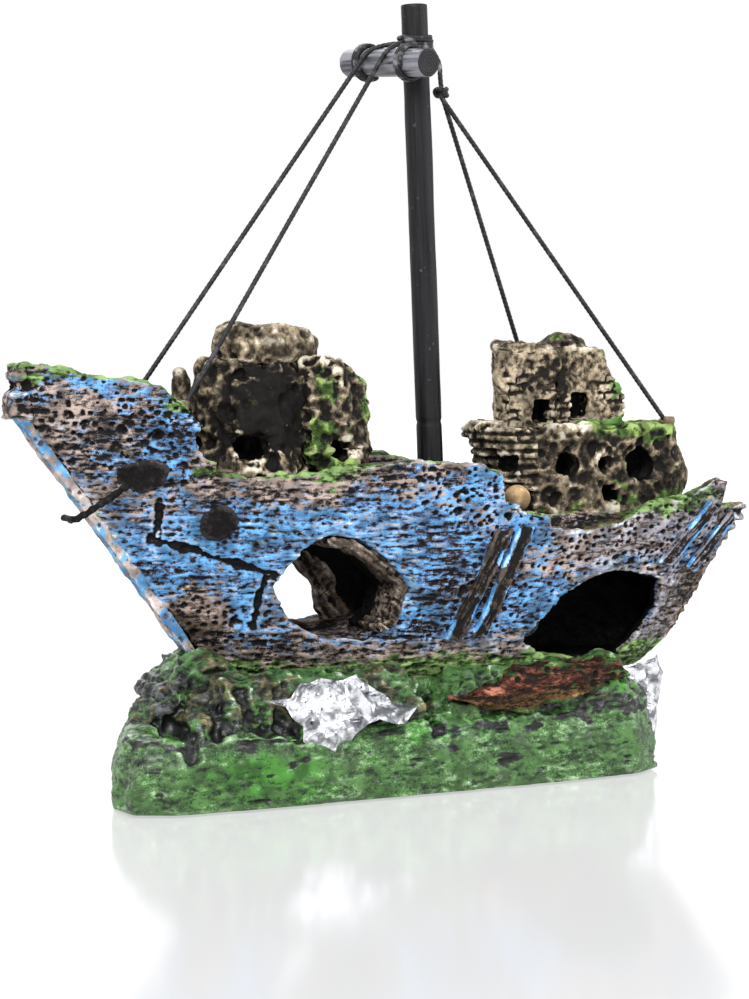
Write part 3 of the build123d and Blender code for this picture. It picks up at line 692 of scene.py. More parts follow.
def make_stem_bar():
    """Raked bar on the bow's front, its paint rubbed pale."""
    skin = casting(["stem_bar"], FINE, 3)
    points = skin.points
    skin.push(0.3 * fbm(points, 2.4, 101, 3) - 0.4 * pits(points, 1.4, 105, 0.5))
    skin.weigh_relief(8, 0.12)
    skin.masks["blue"] = step(fbm(points, (2.0, 2.0, 2.6), 108, 3), -0.3, 0.4)
    skin.finish("stem_bar_paint", MATERIALS["stem"], "painted_hull", ["stem_bar"])


TIMBERS = {
    # name: lower and upper end of its middle line in side view, half width
    "rib_timber_fore": ((4.8, 25.0), (12.6, 44.0), 1.4),
    "rib_timber_aft": ((9.7, 25.0), (16.7, 44.4), 1.3),
    "quarter_timber_fore": ((46.9, 36.3), (57.3, 46.7), 1.3),
    "quarter_timber_aft": ((54.1, 35.0), (63.2, 44.6), 1.2),
}


def make_timbers():
    """Slanting planks with raised, painted edges and a dark, grained middle."""
    for index, (node, (low, high, half)) in enumerate(TIMBERS.items()):
        skin = casting([node], FINE, 2)
        points = skin.points
        edge = from_line(points, [low, high]) / half
        grain = fbm(turned(points, -67.0 if index < 2 else -45.0), (5.0, 0.6, 0.6), 120 + index, 2)
        skin.push(0.2 * step(edge, 0.6, 0.9) + 0.25 * grain + 0.15 * fbm(points, 2.0, 128, 2))
        skin.weigh_relief(6, 0.12)
        skin.masks["blue"] = 0.9 * step(edge + 0.35 * fbm(points, 3.0, 130, 2), 0.75, 0.95)
        skin.masks["tan"] = np.full(len(points), 0.2 if index < 2 else 0.8)
        skin.finish(node + "_paint", MATERIALS["timber"], "painted_hull", [node])


def make_dark_fittings():
    """Hawse patch, porthole boss and old rope, in nearly black resin."""
    for index, node in enumerate(["hawse_patch", "porthole_boss", "bow_rope"]):
        skin = casting([node], SMALL, 4)
        points = skin.points
        if node == "bow_rope":
            lay = points @ np.array([1.1, -0.8, 1.3])
            amount = 0.07 * np.sin(lay * 2.0) + 0.14 * fbm(points, 1.2, 141, 3) - 0.3
        else:
            amount = 0.3 + 0.28 * fbm(points, 1.6, 144 + index, 3)
        skin.push(amount)
        skin.weigh_relief(8, 0.14)
        skin.finish(node + "_cast", MATERIALS["fitting"], "dark_resin", [node])


def reach_over_mouth(points):
    """Move the torn plank forward, and its foot down, over part of the far mouth."""
    across_it = points @ np.array([0.77, 0.0, 0.64])
    points[:, 0] -= np.interp(across_it, [13.0, 16.5], [4.2, 2.6])
    points[:, 1] += 0.4
    points[:, 2] -= 2.6 * step(points[:, 2], 36.0, 31.0)


def make_tunnel_wood():
    """Bark lining of the tunnel and the torn plank across its far mouth."""
    for node, turn in [("tunnel_lining", 36.0), ("torn_plank", 52.0)]:
        skin = casting([node], SMALL, 3)
        points = skin.points
        if node == "torn_plank":
            reach_over_mouth(points)
        fibres = fbm(turned(points, turn), (5.0, 1.6, 0.7), 151, 3)
        skin.push(0.34 * fibres + 0.2 * fbm(points, 1.6, 157, 2))
        skin.push(-0.3 * pits(points, 1.5, 161, 0.3))
        skin.weigh_relief(6, 0.12)
        # Painted shade: the lining deep in the tunnel is laid near-black.
        deep = step(points[:, 1], -8.5, -4.0) if node == "tunnel_lining" else 0 * points[:, 1]
        skin.masks["tan"] = 1 - deep
        skin.masks["black"] = step(deep, 0.5, 0.9)
        skin.finish(node + "_bark", MATERIALS["bark"], "bark_resin", [node])


# ---- rocks ----
def rock_skin(nodes, seed, swell=0.9, pit=2.6, deep=0.9, voxel=0.32):
    """CAD blocks worn into pitted rock."""
    skin = casting(nodes, max(voxel, FINE), 6)
    points = skin.points
    lumps = fbm(points, 6.0, seed, 2) + 0.6 * ridges(points, 4.0, seed + 5)
    skin.push(0.35 + swell * lumps)
    points = skin.points
    skin.push(-deep * pits(points, pit * 1.5, seed + 10, 0.4)
              - 0.6 * deep * pits(points, pit * 0.8, seed + 15, 0.3)
              + 0.3 * fbm(points, 1.7, seed + 30, 3))
    skin.weigh_relief(14, 0.24)
    skin.masks["tan"] = np.ones(len(points))
    skin.masks["moss"] = np.zeros(len(points))
    skin.masks["black"] = np.zeros(len(points))
    return skin


RECESS_DEPTH = 6.0


def dark_hollow(points, x, z, radius, front):
    """Mask of a round recess in a port face at y = front, laid near-black as painted shade."""
    away = np.hypot(points[:, 0] - x, points[:, 2] - z)
    back = front + RECESS_DEPTH
    inside = step(points[:, 1], front, front + 1.2) * step(points[:, 1], back + 2, back)
    return step(away, radius + 0.5, radius - 0.3) * inside


def mossy(points, marks, seed):
    """Ragged moss where marks are strong."""
    return step(spots(points, marks) + 0.55 * fbm(points, 2.0, seed, 3), 0.5, 0.9)


FORE_ROCK_FRONT = -8.5
TERRACE_FRONT = -10.2


def make_fore_rocks():
    """The pitted rock with its cap, its ridged lobe, and the small spire."""
    skin = rock_skin(["fore_rock"], 200)
    points = skin.points
    shadow = spots(points, [(-27.5, 64.0, 7.5, 7.0, 1.3)]) * step(points[:, 1], 0.0, -4.0)
    skin.masks["relief"] -= 0.1
    skin.masks["tan"] = np.clip(0.85 - shadow, 0.0, 1)
    skin.masks["black"] = dark_hollow(points, -31.0, 58.5, 3.0, FORE_ROCK_FRONT)
    skin.finish("fore_rock_pitted", MATERIALS["rock"], "tan_rock", ["fore_rock"])

    skin = rock_skin(["fore_rock_cap"], 230, swell=0.6, pit=2.0, deep=0.5)
    skin.masks["relief"] += 0.7 * spots(skin.points, [(-24.0, 77.0, 8.0, 3.0, 1.0)])
    skin.finish("fore_rock_slab", MATERIALS["rock"], "tan_rock", ["fore_rock_cap"])

    skin = rock_skin(["fore_rock_lobe"], 260, swell=1.1, pit=3.2, deep=1.2)
    points = skin.points
    skin.masks["tan"] = np.clip(0.75 + 0.3 * fbm(points, 4.0, 266, 2), 0, 1)
    skin.masks["moss"] = mossy(points, [
        (-18.0, 68.0, 3.0, 4.0, 0.9), (-8.5, 66.0, 2.8, 7.0, 1.1), (-19.0, 60.0, 2.6, 3.5, 1.0),
        (-14.0, 55.5, 6.0, 1.6, 0.9)], 268)
    skin.masks["black"] = dark_hollow(points, -15.0, 57.9, 2.2, FORE_ROCK_FRONT)
    skin.finish("fore_rock_ridge", MATERIALS["rock"], "tan_rock", ["fore_rock_lobe"])

    skin = rock_skin(["fore_spire"], 290, swell=0.4, pit=1.6, deep=0.3)
    skin.finish("fore_spire_rock", MATERIALS["rock"], "tan_rock", ["fore_spire"])


TERRACE_HOLLOWS = [(28.6, 54.4, 2.3), (36.0, 54.4, 2.0), (43.8, 54.0, 3.3), (37.6, 48.9, 2.3)]


def make_terrace():
    """Rock terrace with dark caves, worn steps at its fore end and moss on its ledge."""
    skin = rock_skin(["stern_terrace"], 320, swell=0.7, pit=2.8, deep=0.8)
    points = skin.points
    x, y, z = points.T
    steps = mortar(x + y, z, 4.2, 1.5) * step(x, 24.5, 21.5)
    skin.push(-0.45 * steps)
    skin.weigh_relief(14, 0.24)
    shadow = spots(points, [(cave_x, cave_z, 1.4 * wide, 1.4 * wide, 0.35)
                            for cave_x, cave_z, wide in TERRACE_HOLLOWS]) * step(y, -5.0, -8.0)
    shadow += spots(points, [(47.0, 54.0, 5.5, 4.5, 0.4)])
    skin.masks["relief"] += 0.12 - shadow
    skin.masks["tan"] = np.clip(0.9 - 0.25 * shadow + 0.3 * fbm(points, 5.0, 326, 2), 0, 1)
    for hollow in [(18.5, 54.6, 1.3), *TERRACE_HOLLOWS]:
        skin.masks["black"] = np.maximum(
            skin.masks["black"], dark_hollow(points, *hollow, TERRACE_FRONT))
    skin.masks["moss"] = mossy(points, [
        (40.0, 61.0, 9.0, 1.8, 1.2), (49.0, 61.0, 6.0, 3.0, 1.0), (40.0, 50.0, 3.0, 3.0, 0.8),
        (50.0, 47.5, 6.0, 2.5, 1.1), (30.0, 47.0, 8.0, 1.5, 0.7)], 330)
    skin.finish("stern_terrace_rock", MATERIALS["rock"], "tan_rock", ["stern_terrace"])


def in_frame(points, x_low, x_high, z_low, z_high, front):
    """Mask of a rectangular recess in a port face at y = front."""
    x, y, z = points.T
    back = front + RECESS_DEPTH
    wide = step(x, x_low - 0.4, x_low + 0.2) * step(x, x_high + 0.4, x_high - 0.2)
    tall = step(z, z_low - 0.4, z_low + 0.2) * step(z, z_high + 0.4, z_high - 0.2)
    return wide * tall * step(y, front, front + 1.0) * step(y, back + 2, back)


CASTLE_FOOT = 61.0
BRICK = (3.1, 1.55)


def make_castle():
    """Brick tower and house, their window recesses laid near-black as painted shade."""
    windows = {
        # limits in x and in z, and the wall's front
        "castle_tower": (23.4, 26.8, 61.6, 66.0, -7.7),
        "castle_house": (31.4, 35.2, 62.6, 67.0, -6.9),
    }
    for index, (node, window) in enumerate(windows.items()):
        skin = casting([node], FINE, 4)
        points = skin.points
        x, y, z = points.T
        normals = skin.normals()
        on_side = np.abs(normals[:, 0]) > np.abs(normals[:, 1])
        walls = step(np.abs(normals[:, 2]), 0.8, 0.5)
        wander = 0.5 * fbm(points, 3.0, 345 + index, 2)
        joints = walls * mortar(
            np.where(on_side, y, x) + wander, z - CASTLE_FOOT + wander, *BRICK)
        opening = in_frame(points, *window)
        worn = step(fbm(points, 4.0, 350 + index, 2), 0.35, -0.2)
        skin.push(0.45 * fbm(points, 3.6, 352 + index, 3) - 0.5 * joints * worn * (1 - opening))
        skin.push(0.25 * fbm(points, 1.6, 361, 3) - 0.4 * pits(points, 1.9, 356 + index, 0.15))
        skin.weigh_relief(12, 0.22)
        # Painted shadow in the gap between tower and house, and darker paint in the tower's middle.
        shade_and_dark_paint = spots(points, [(29.0, 69.0, 1.6, 8.0, 1.3), (25.0, 70.0, 3.0, 4.0, 0.4)])
        skin.masks["relief"] += 0.15 - shade_and_dark_paint
        blotch = step(fbm(points, 5.0, 364 + index, 2), 0.0, 0.6)
        skin.masks["tan"] = np.clip(0.95 - 0.5 * blotch, 0, 1)
        skin.masks["black"] = opening
        skin.masks["moss"] = mossy(points, [
            (41.5, 69.0, 2.0, 6.0, 1.1), (38.0, 75.0, 3.0, 1.4, 0.9), (22.0, 75.0, 3.0, 1.0, 0.6),
            (36.0, 61.5, 8.0, 1.2, 1.0)], 367)
        skin.finish(node + "_brick", MATERIALS["brick"], "tan_rock", [node])
    for index, node in enumerate(["castle_boulder", "roof_rubble"]):
        skin = rock_skin([node], 380 + 7 * index, swell=0.5, pit=1.8, deep=0.5, voxel=FINE)
        skin.masks["moss"] = mossy(skin.points, [(31.0, 77.0, 4.0, 1.5, 0.7)], 390)
        skin.finish(node + "_rock", MATERIALS["rock"], "tan_rock", [node])


def make_pebble():
    """Smooth tan pebble on the rim."""
    skin = casting(["pebble"], SMALL, 8)
    skin.push(0.12 * fbm(skin.points, 2.2, 401, 3))
    skin.weigh_relief(8, 0.08)
    skin.finish("pebble_stone", MATERIALS["pebble"], "tan_rock", ["pebble"])


# ---- base ----
ROOT_GROOVES = [
    [(-41.0, 19.0), (-41.6, 12.6)], [(-36.6, 18.6), (-36.0, 14.6)], [(-47.6, 12.6), (-47.2, 9.2)],
    [(-30.5, 14.0), (-27.6, 11.4)], [(-4.4, 18.0), (-2.6, 10.6)], [(-52.0, 14.8), (-47.0, 13.2)],
]
BASE_TOP = 12.0
REEF_NODES = ["base_slab", "reef_bed", "port_reef_fore", "port_reef_aft", "starboard_reef",
              "stem_rock"]


def make_reef():
    """Glossy green base with the rocky banks that hold the hull."""
    skin = casting(REEF_NODES, VOXEL + 0.04, 14)
    points = skin.points
    x, y, z = points.T
    up = skin.normals()[:, 2]
    standing = step(z, 0.2, 1.2)                 # keeps the underside flat
    bank = step(z, 11.0, 14.0)
    groove = np.zeros(len(points))
    for line in ROOT_GROOVES:
        away = from_line(points, line) + 0.8 * fbm(points, 2.4, 408, 2)
        groove = np.maximum(groove, step(away, 1.8, 0.6))
    groove *= step(np.abs(y), 8.0, 12.0)
    gouges = step(fbm(points, (5.0, 5.0, 1.4), 410, 3), 0.5, 0.9) * (1 - bank)
    wrinkles = fbm(points, (4.0, 4.0, 1.2), 412, 3)
    amount = 0.7 * fbm(points, 8.0, 415, 2) + (0.12 + 0.6 * bank) * ridges(points, 4.2, 420)
    amount += -1.3 * groove - 0.5 * gouges + 0.22 * wrinkles
    amount += 1.6 * step(x, 28.0, 38.0) * step(z, 9.0, 13.0)
    amount += -(0.12 + 0.5 * bank) * pits(points, 1.8, 425, 0.6)
    skin.push(amount * standing)
    skin.push((0.08 + 0.16 * bank) * fbm(points, 1.1, 430, 3) * standing)
    skin.weigh_relief(12, 0.2)

    cloud = fbm(points, (7.0, 7.0, 4.0), 440, 3)
    stem_side = spots(points, [(-50.0, 19.0, 5.5, 6.5, 0.95)]) * step(z, 12.0, 15.0)
    patches = step(fbm(points, (3.4, 3.4, 1.8), 445, 3), 0.28, 0.7) * step(z, 1.0, 4.0)
    shoulder = step(np.abs(z - BASE_TOP - 1.5 * cloud), 2.4, 0.8)
    dark = 0.65 * groove + 0.5 * gouges + stem_side + 0.4 * shoulder + 0.35 * patches
    dark += 0.25 * bank * step(cloud, 0.3, -0.3)
    skin.masks["olive"] = np.clip(bank * step(cloud, -0.7, 0.0), 0, 1)
    skin.masks["green"] = np.clip(1.1 - 0.7 * bank * step(cloud, -0.5, 0.2) - stem_side, 0, 1)
    skin.masks["vivid"] = np.clip(
        spots(points, [(-34.0, 6.0, 12.0, 4.5, 1.0), (-2.0, 11.0, 9.0, 2.5, 0.8),
                       (34.0, 16.0, 8.0, 2.5, 0.8)]) + 0.2 * cloud, 0, 1)
    pale = 0.4 + 0.5 * step(np.abs(z - 10.5), 4.0, 1.0) + 0.5 * cloud
    skin.masks["pale"] = np.clip(pale, 0, 1) * skin.masks["green"]
    skin.masks["black"] = np.clip(dark * step(up, 1.2, 0.4), 0, 1.1)
    skin.finish("reef_base", MATERIALS["reef"], "green_base", REEF_NODES)


def make_rust_patch():
    """Wavy rust-red flakes on the port bank."""
    skin = casting(["rust_patch"], voxel=0.26, rounds=6)
    skin.points[:, 1] += 2.4 * step(skin.points[:, 0], 26.0, 38.0)     # follows the bank's end
    points = skin.points
    bent = points + 0.8 * fbm(points, 5.0, 451, 2)[:, None]
    layers = fbm(bent, (3.4, 3.4, 1.1), 455, 3)
    skin.push(0.15 + 0.4 * layers + 0.7 * fbm(points, 4.0, 458, 2))
    skin.push(-0.5 * pits(points, 2.2, 460, 0.4))
    skin.weigh_relief(10, 0.2)
    within = spots(points, [(8.0, 15.6, 9.0, 4.4, 1.2), (25.0, 17.6, 13.0, 4.4, 1.2)])
    patchy = fbm(points, (4.0, 4.0, 1.6), 462, 3)
    skin.masks["relief"] += 0.5 * fbm(points, (3.0, 3.0, 1.2), 465, 2) - 0.25
    skin.masks["red"] = np.clip(1.5 * within + 0.5 * patchy, 0, 1)
    low = points[:, 2] - np.interp(points[:, 0], [2.0, 14.0, 36.0], [14.8, 15.4, 17.8])
    skin.masks["ochre"] = np.clip(step(low, 1.0, -0.6) + 0.4 * patchy, 0, 0.8)
    skin.masks["moss"] = np.clip(1.1 - 1.2 * within - 0.9 * patchy, 0, 1)
    skin.finish("rust_flakes", MATERIALS["rust"], "rust_resin", ["rust_patch"])


# ---- foil ----
FOIL_FRONT = [
    (-32.4, 16.8), (-29.0, 17.2), (-27.1, 19.7), (-21.0, 20.2), (-15.0, 19.9), (-12.0, 17.0),
    (-6.1, 14.6), (-8.5, 12.9), (-17.0, 12.6), (-19.0, 9.4), (-23.7, 7.9), (-27.0, 10.6),
    (-26.6, 13.6),
]
FOIL_STERN = [
    (40.2, 17.4), (43.0, 18.6), (46.0, 19.8), (48.6, 19.0), (50.4, 15.4), (49.4, 11.5),
    (47.8, 3.4), (44.8, 4.4), (43.6, 10.0), (41.8, 14.0),
]
FOIL_THICKNESS = 0.06
FOIL_FACET = 1.8


def inside_outline(flat, outline):
    """True for points inside a closed outline."""
    inside = np.zeros(len(flat), bool)
    for (x1, z1), (x2, z2) in zip(outline, outline[1:] + outline[:1]):
        crosses = (z1 > flat[:, 1]) != (z2 > flat[:, 1])
        at = x1 + (flat[:, 1] - z1) * (x2 - x1) / (z2 - z1 + 1e-9)
        inside ^= crosses & (flat[:, 0] < at)
    return inside


def torn_edge(outline, pitch, seed):
    """Points along an outline, set off it at random like a tear."""
    made = []
    for start, end in zip(outline, outline[1:] + outline[:1]):
        start, end = np.array(start), np.array(end)
        count = max(1, int(np.linalg.norm(end - start) / pitch))
        made += [start + (end - start) * k / count for k in range(count)]
    made = np.array(made)
    cells = np.column_stack([np.arange(len(made)), np.zeros((len(made), 2))])
    shift = np.column_stack([hashed(cells, seed), hashed(cells, seed + 1)]) - 0.5
    return made + 0.7 * pitch * shift


def facets(outline, pitch, seed):
    """Random triangles that fill an outline: flat points and rows of three corners."""
    edge = torn_edge(outline, pitch, seed)
    low, high = edge.min(axis=0), edge.max(axis=0)
    columns, rows = np.ceil((high - low) / pitch).astype(int) + 1
    cells = np.stack(np.meshgrid(np.arange(columns), np.arange(rows), [0], indexing="ij"), -1)
    cells = cells.reshape(-1, 3)
    shift = np.column_stack([hashed(cells, seed + 2), hashed(cells, seed + 3)])
    filling = low + (cells[:, :2] + shift) * pitch
    middle = edge.mean(axis=0)
    shrunk = [tuple(point) for point in middle + (edge - middle) * 0.94]
    filling = filling[inside_outline(filling, shrunk)]
    every = [Vector(point) for point in np.concatenate([edge, filling])]
    points, _, faces, *_ = delaunay_2d_cdt(every, [], [list(range(len(edge)))], 1, 1e-4)
    return np.array([tuple(point) for point in points]), [list(face) for face in faces]


def halved(points, faces):
    """Each triangle cut into four at the middles of its sides."""
    points, middle, finer = list(points), {}, []
    for face in faces:
        cut = []
        for pair in zip(face, face[1:] + face[:1]):
            key = tuple(sorted(pair))
            if key not in middle:
                middle[key] = len(points)
                points.append((points[pair[0]] + points[pair[1]]) / 2)
            cut.append(middle[key])
        finer += [[face[0], cut[0], cut[2]], [face[1], cut[1], cut[0]], [face[2], cut[2], cut[1]],
                  cut]
    return np.array(points), finer


def foil_mesh(outline, seed, place, height):
    """Thin crumpled sheet inside an outline, put in place by a function."""
    flat, faces = facets(outline, FOIL_FACET, seed)
    bumps = hashed(np.round(flat[:, [0, 1, 0]] * 97), seed + 5) - 0.5
    raised = np.column_stack([flat, height * bumps])
    raised[:, 2] += 0.6 * height * waves(raised * (1, 1, 0), 4.0, seed + 6)
    for _ in range(2):
        start = len(raised)
        raised, faces = halved(raised, faces)
        cells = np.arange(start, len(raised))[:, None] * (1, 3, 7)
        raised[start:, 2] += 0.15 * height * (hashed(cells, seed + 7) - 0.5)
    sheet = place(raised[:, :2], raised[:, 2])
    return evaluated(face_mesh(sheet, faces), "SOLIDIFY", thickness=FOIL_THICKNESS)


def on_port_bank(flat, height):
    """Lay the front scrap on the bank and over the slab's edge."""
    x, z = flat.T
    lie = np.interp(z, [7.0, 12.4, 21.0], [-24.0, -23.0, -18.0])
    return np.column_stack([x, lie - 0.6 - height * 0.9, z + 0.3 * height])


def on_aft_corner(flat, height):
    """Bunch the other scrap at the base's port after corner."""
    x, z = flat.T
    lie = np.interp(x, [43.0, 46.5, 50.4], [-11.8, -12.0, -7.6])
    return np.column_stack([x, lie - height * 0.6, z + 0.2 * height])


def make_foil():
    """Torn kitchen foil in two places."""
    paint = Paint("foil_silver", 0.3, 0.5)
    paint.surface.inputs["Metallic"].default_value = 0.85
    dull = paint.step(paint.noise(2.0, 3.0), 0.36, 0.6)
    # Painted shade: thin dark lines stand in for the shade in the foil's creases.
    painted_crease_shade = paint.step(paint.noise(0.9, 4.0), 0.63, 0.71)
    silver = paint.mix(dull, shade(128, 129, 134), shade(236, 237, 241))
    paint.finish(paint.mix(painted_crease_shade, silver, shade(70, 70, 74)), paint.step(dull, 0.0, 1.0, 0.5, 0.3),
                 paint.noise(0.3, 3.0), 0.08)
    for name, outline, seed, place, height, node in [
        ("foil_front", FOIL_FRONT, 500, on_port_bank, 2.4, "foil_scrap_front"),
        ("foil_stern", FOIL_STERN, 540, on_aft_corner, 2.8, "foil_scrap_stern"),
    ]:
        Skin(foil_mesh(outline, seed, place, height)).finish(
            name, paint.material, "foil", [node], smooth=False)


# ---- turned pieces ----
def unit(vector):
    """The vector at length 1."""
    vector = np.asarray(vector, float)
    return vector / np.linalg.norm(vector)


def across(axis):
    """Two directions square to an axis."""
    first = unit(np.cross(axis, (0.0, 1.0, 0.0) if abs(axis[1]) < 0.9 else (1.0, 0.0, 0.0)))
    return first, np.cross(axis, first)


def ringed(points, rings, closed=False):
    """Mesh of a tube from its rings of points, with flat ends unless it closes on itself."""
    sides = len(points) // rings
    faces = []
    for ring in range(rings if closed else rings - 1):
        here, there = ring * sides, ((ring + 1) % rings) * sides
        for side in range(sides):
            after = (side + 1) % sides
            faces.append([here + side, here + after, there + after, there + side])
    if not closed:
        faces.append(list(range(sides))[::-1])
        faces.append([(rings - 1) * sides + side for side in range(sides)])
    return face_mesh(points, faces)


def lathed(profile, start, axis, sides, closed=False):
    """Mesh turned from a profile of (distance along the axis, radius)."""
    axis = unit(axis)
    first, second = across(axis)
    turn = np.arange(sides) * 2 * pi / sides
    circle = np.cos(turn)[:, None] * first + np.sin(turn)[:, None] * second
    points = np.concatenate([np.asarray(start) + s * axis + r * circle for s, r in profile])
    return ringed(points, len(profile), closed)


def dense(profile, pitch):
    """The profile with points added so that none are further apart than the pitch."""
    made = [profile[0]]
    for (s1, r1), (s2, r2) in zip(profile[:-1], profile[1:]):
        count = max(1, int(np.ceil(np.hypot(s2 - s1, r2 - r1) / pitch)))
        made += [(s1 + (s2 - s1) * k / count, r1 + (r2 - r1) * k / count)
                 for k in range(1, count + 1)]
    return made


GROWTH_RINGS = 9
BEVEL = 0.12              # taken off the rim of a dowel's sawn end


def end_grain(s, radius, outward):
    """Profile of a sawn dowel end with faint growth rings, from the rim to the middle."""
    made = [(s, radius - BEVEL)]
    for ring in range(1, GROWTH_RINGS):
        share = 1 - ring / GROWTH_RINGS
        made.append((s + outward * (0.05 if ring % 2 else -0.03), (radius - BEVEL) * share))
    return made + [(s, 0.05)]


MAST_FOOT = np.array([7.3, 0.0, 46.0])
MAST_HEAD = np.array([3.6, 0.0, 135.0])
MAST_RADIUS = 2.3
YARD_RADIUS = 2.45
YARD_AXIS = unit([0.26, -0.963, -0.072])
YARD_FAR, YARD_NEAR = 12.5, 8.8          # its ends' distances from the crossing
YARD_HEIGHT = 124.9
MAST_AXIS = unit(MAST_HEAD - MAST_FOOT)
CROSSING = MAST_FOOT + MAST_AXIS * (YARD_HEIGHT - MAST_FOOT[2]) / MAST_AXIS[2]
YARD_SIDE = unit(-np.cross(MAST_AXIS, YARD_AXIS))
YARD_MIDDLE = CROSSING + YARD_SIDE * (MAST_RADIUS + YARD_RADIUS)


def wood_paint(name, dark, light, roughness, size, turn, specular):
    """Stained dowel with fine grain along it; on the yard the light streaks are also a painted
    sheen.
    """
    paint = Paint(name, roughness[0], specular)
    grain = paint.noise(size, 5.0, turn)
    scuffs = paint.step(paint.noise(1.4, 4.0), 0.66, 0.74)
    colour = paint.mix(paint.step(grain, 0.38, 0.62), shade(*dark), shade(*light))
    colour = paint.mix(paint.times(scuffs, 0.3), colour, shade(120, 120, 124))
    ring = paint.mix(paint.mask("ring"), shade(10, 10, 12), shade(48, 48, 52))
    colour = paint.mix(paint.mask("sawn"), colour, ring)
    dullness = paint.sum(
        paint.step(grain, 0.3, 0.7, *roughness), paint.times(paint.mask("sawn"), 0.45))
    return paint.finish(colour, dullness, grain, 0.1)


def dowel(name, start, end, radius, material, node, groove=None, seed=600):
    """Sawn round stick with shallow grain, and a cut ring at a groove's height."""
    length = np.linalg.norm(end - start)
    axis = (end - start) / length
    foot = end_grain(0.0, radius, -1.0)[::-1]
    wall = [(0.14, radius), (length - 0.14, radius)]
    skin = Skin(lathed(foot + dense(wall, 0.5) + end_grain(length, radius, 1.0), start, axis, 72))
    along = (skin.points - start) @ axis
    spoke = skin.points - start - along[:, None] * axis
    away = np.linalg.norm(spoke, axis=1)
    on_wall = step(away, radius * 0.9, radius * 0.97)
    skin.masks["sawn"] = step(away, radius - 0.02, radius - 0.1)
    skin.masks["ring"] = 0.5 + 0.5 * np.cos(away / (radius - BEVEL) * GROWTH_RINGS * pi)
    fibre = fbm(spoke + (along / 14.0)[:, None], 0.6, seed, 2)
    amount = 0.05 * fibre
    if groove is not None:
        amount -= 0.16 * step(np.abs(along - groove), 0.5, 0.15)
    skin.push(on_wall * amount)
    skin.finish(name, material, "dark_wood", [node])


def make_spars():
    """Mast and yard."""
    mast_wood = wood_paint("mast_wood", (12, 12, 14), (30, 30, 34), (0.42, 0.6),
                           (0.5, 0.5, 14.0), (0.0, 2.4, 0.0), 0.25)
    # The yard's light grey streaks: dark grain plus a painted sheen on dark paint.
    yard_wood_painted_sheen = wood_paint("yard_wood_painted_sheen", (46, 46, 52), (146, 146, 154), (0.3, 0.45),
                           (1.1, 16.0, 1.1), (0.0, 0.0, -15.1), 0.5)
    dowel("mast_dowel", MAST_FOOT, MAST_HEAD, MAST_RADIUS, mast_wood, "mast", groove=16.0)
    dowel("yard_dowel", YARD_MIDDLE - YARD_AXIS * YARD_FAR, YARD_MIDDLE + YARD_AXIS * YARD_NEAR,
          YARD_RADIUS, yard_wood_painted_sheen, "yard", seed=620)


AIR_X, AIR_Z = 25.2, 25.8


def make_air_fitting():
    """Nipple with its bore through the starboard wall, and the porous stone on its spigot."""
    paint = Paint("nipple_plastic", 0.25, 0.5)
    cloud = paint.noise(1.8, 3.0)
    paint.surface.inputs["Transmission Weight"].default_value = 0.25
    paint.finish(paint.mix(cloud, shade(205, 214, 218), shade(226, 232, 234)),
                 paint.step(cloud, 0.3, 0.7, 0.2, 0.34), paint.noise(0.5, 2.0), 0.03)
    outside = [     # distance from the hull's middle, radius
        (4.0, 1.0), (4.0, 1.6), (4.15, 1.7), (9.0, 1.7), (9.0, 2.05), (9.2, 2.25),
        (12.8, 2.25), (12.8, 3.6), (13.0, 3.8), (14.2, 3.8), (14.4, 3.6), (14.4, 2.2),
        (16.4, 2.05), (16.4, 2.25), (18.6, 1.95), (18.6, 2.25), (20.8, 1.95), (20.8, 2.25),
        (23.3, 1.75), (23.5, 1.6), (23.5, 1.0),
    ]
    mesh = lathed(dense(outside, 0.5)[:-1] + dense([(23.5, 1.0), (4.0, 1.0)], 0.8)[:-1],
                  (AIR_X, 0.0, AIR_Z), (0, 1, 0), 48, closed=True)
    Skin(mesh).finish("air_nipple", paint.material, "clear_plastic", ["air_inlet"])

    skin = casting(["air_stone"], voxel=0.2, rounds=4)
    points = skin.points
    bore = np.hypot(points[:, 0] - AIR_X, points[:, 2] - AIR_Z) < 2.3
    worn = 0.05 * fbm(points, 0.6, 705) - 0.22 * pits(points, 0.8, 701, 0.9)
    skin.push(np.where(bore, 0.0, worn))
    skin.weigh_relief(6, 0.1)
    skin.finish("air_stone_porous", MATERIALS["stone"], "air_stone", ["air_stone"], "air_stone")


# ---- cords ----
CORD_RADIUS = 0.45
CORD_SIDES = 15
CORD_PITCH = 0.2          # between the rings of a cord's mesh
STRANDS = 3
LAY = 2.6                 # length in which a strand winds once round
FORE_STAYS = {
    # name: foot on the bow, place along the yard, end on the mast lashing
    "fore_stay_far": ((-45.3, 8.0, 67.6), -4.2, (1.6, 0.9, YARD_HEIGHT + 3.4)),
    "fore_stay_near": ((-42.1, -5.5, 65.0), 0.6, (1.6, -0.6, YARD_HEIGHT + 3.4)),
}
AFT_STAYS = {
    # name: foot on the terrace, start in the knot
    "aft_stay_far": ((34.2, 8.6, 61.0), (9.2, 0.3, 119.7)),
    "aft_stay_near": ((51.4, -7.6, 61.0), (8.5, -0.7, 119.2)),
}
KNOT = np.array([9.0, -0.2, 120.0])
KNOT_SIZE = 0.4
OVER_YARD = YARD_RADIUS + CORD_RADIUS + 0.15
BEND_REACH = 5.4          # from there a fore stay bends over the yard


def distance_along(line):
    """Distance of each point of a line from its start."""
    return np.concatenate([[0], np.cumsum(np.linalg.norm(np.diff(line, axis=0), axis=1))])


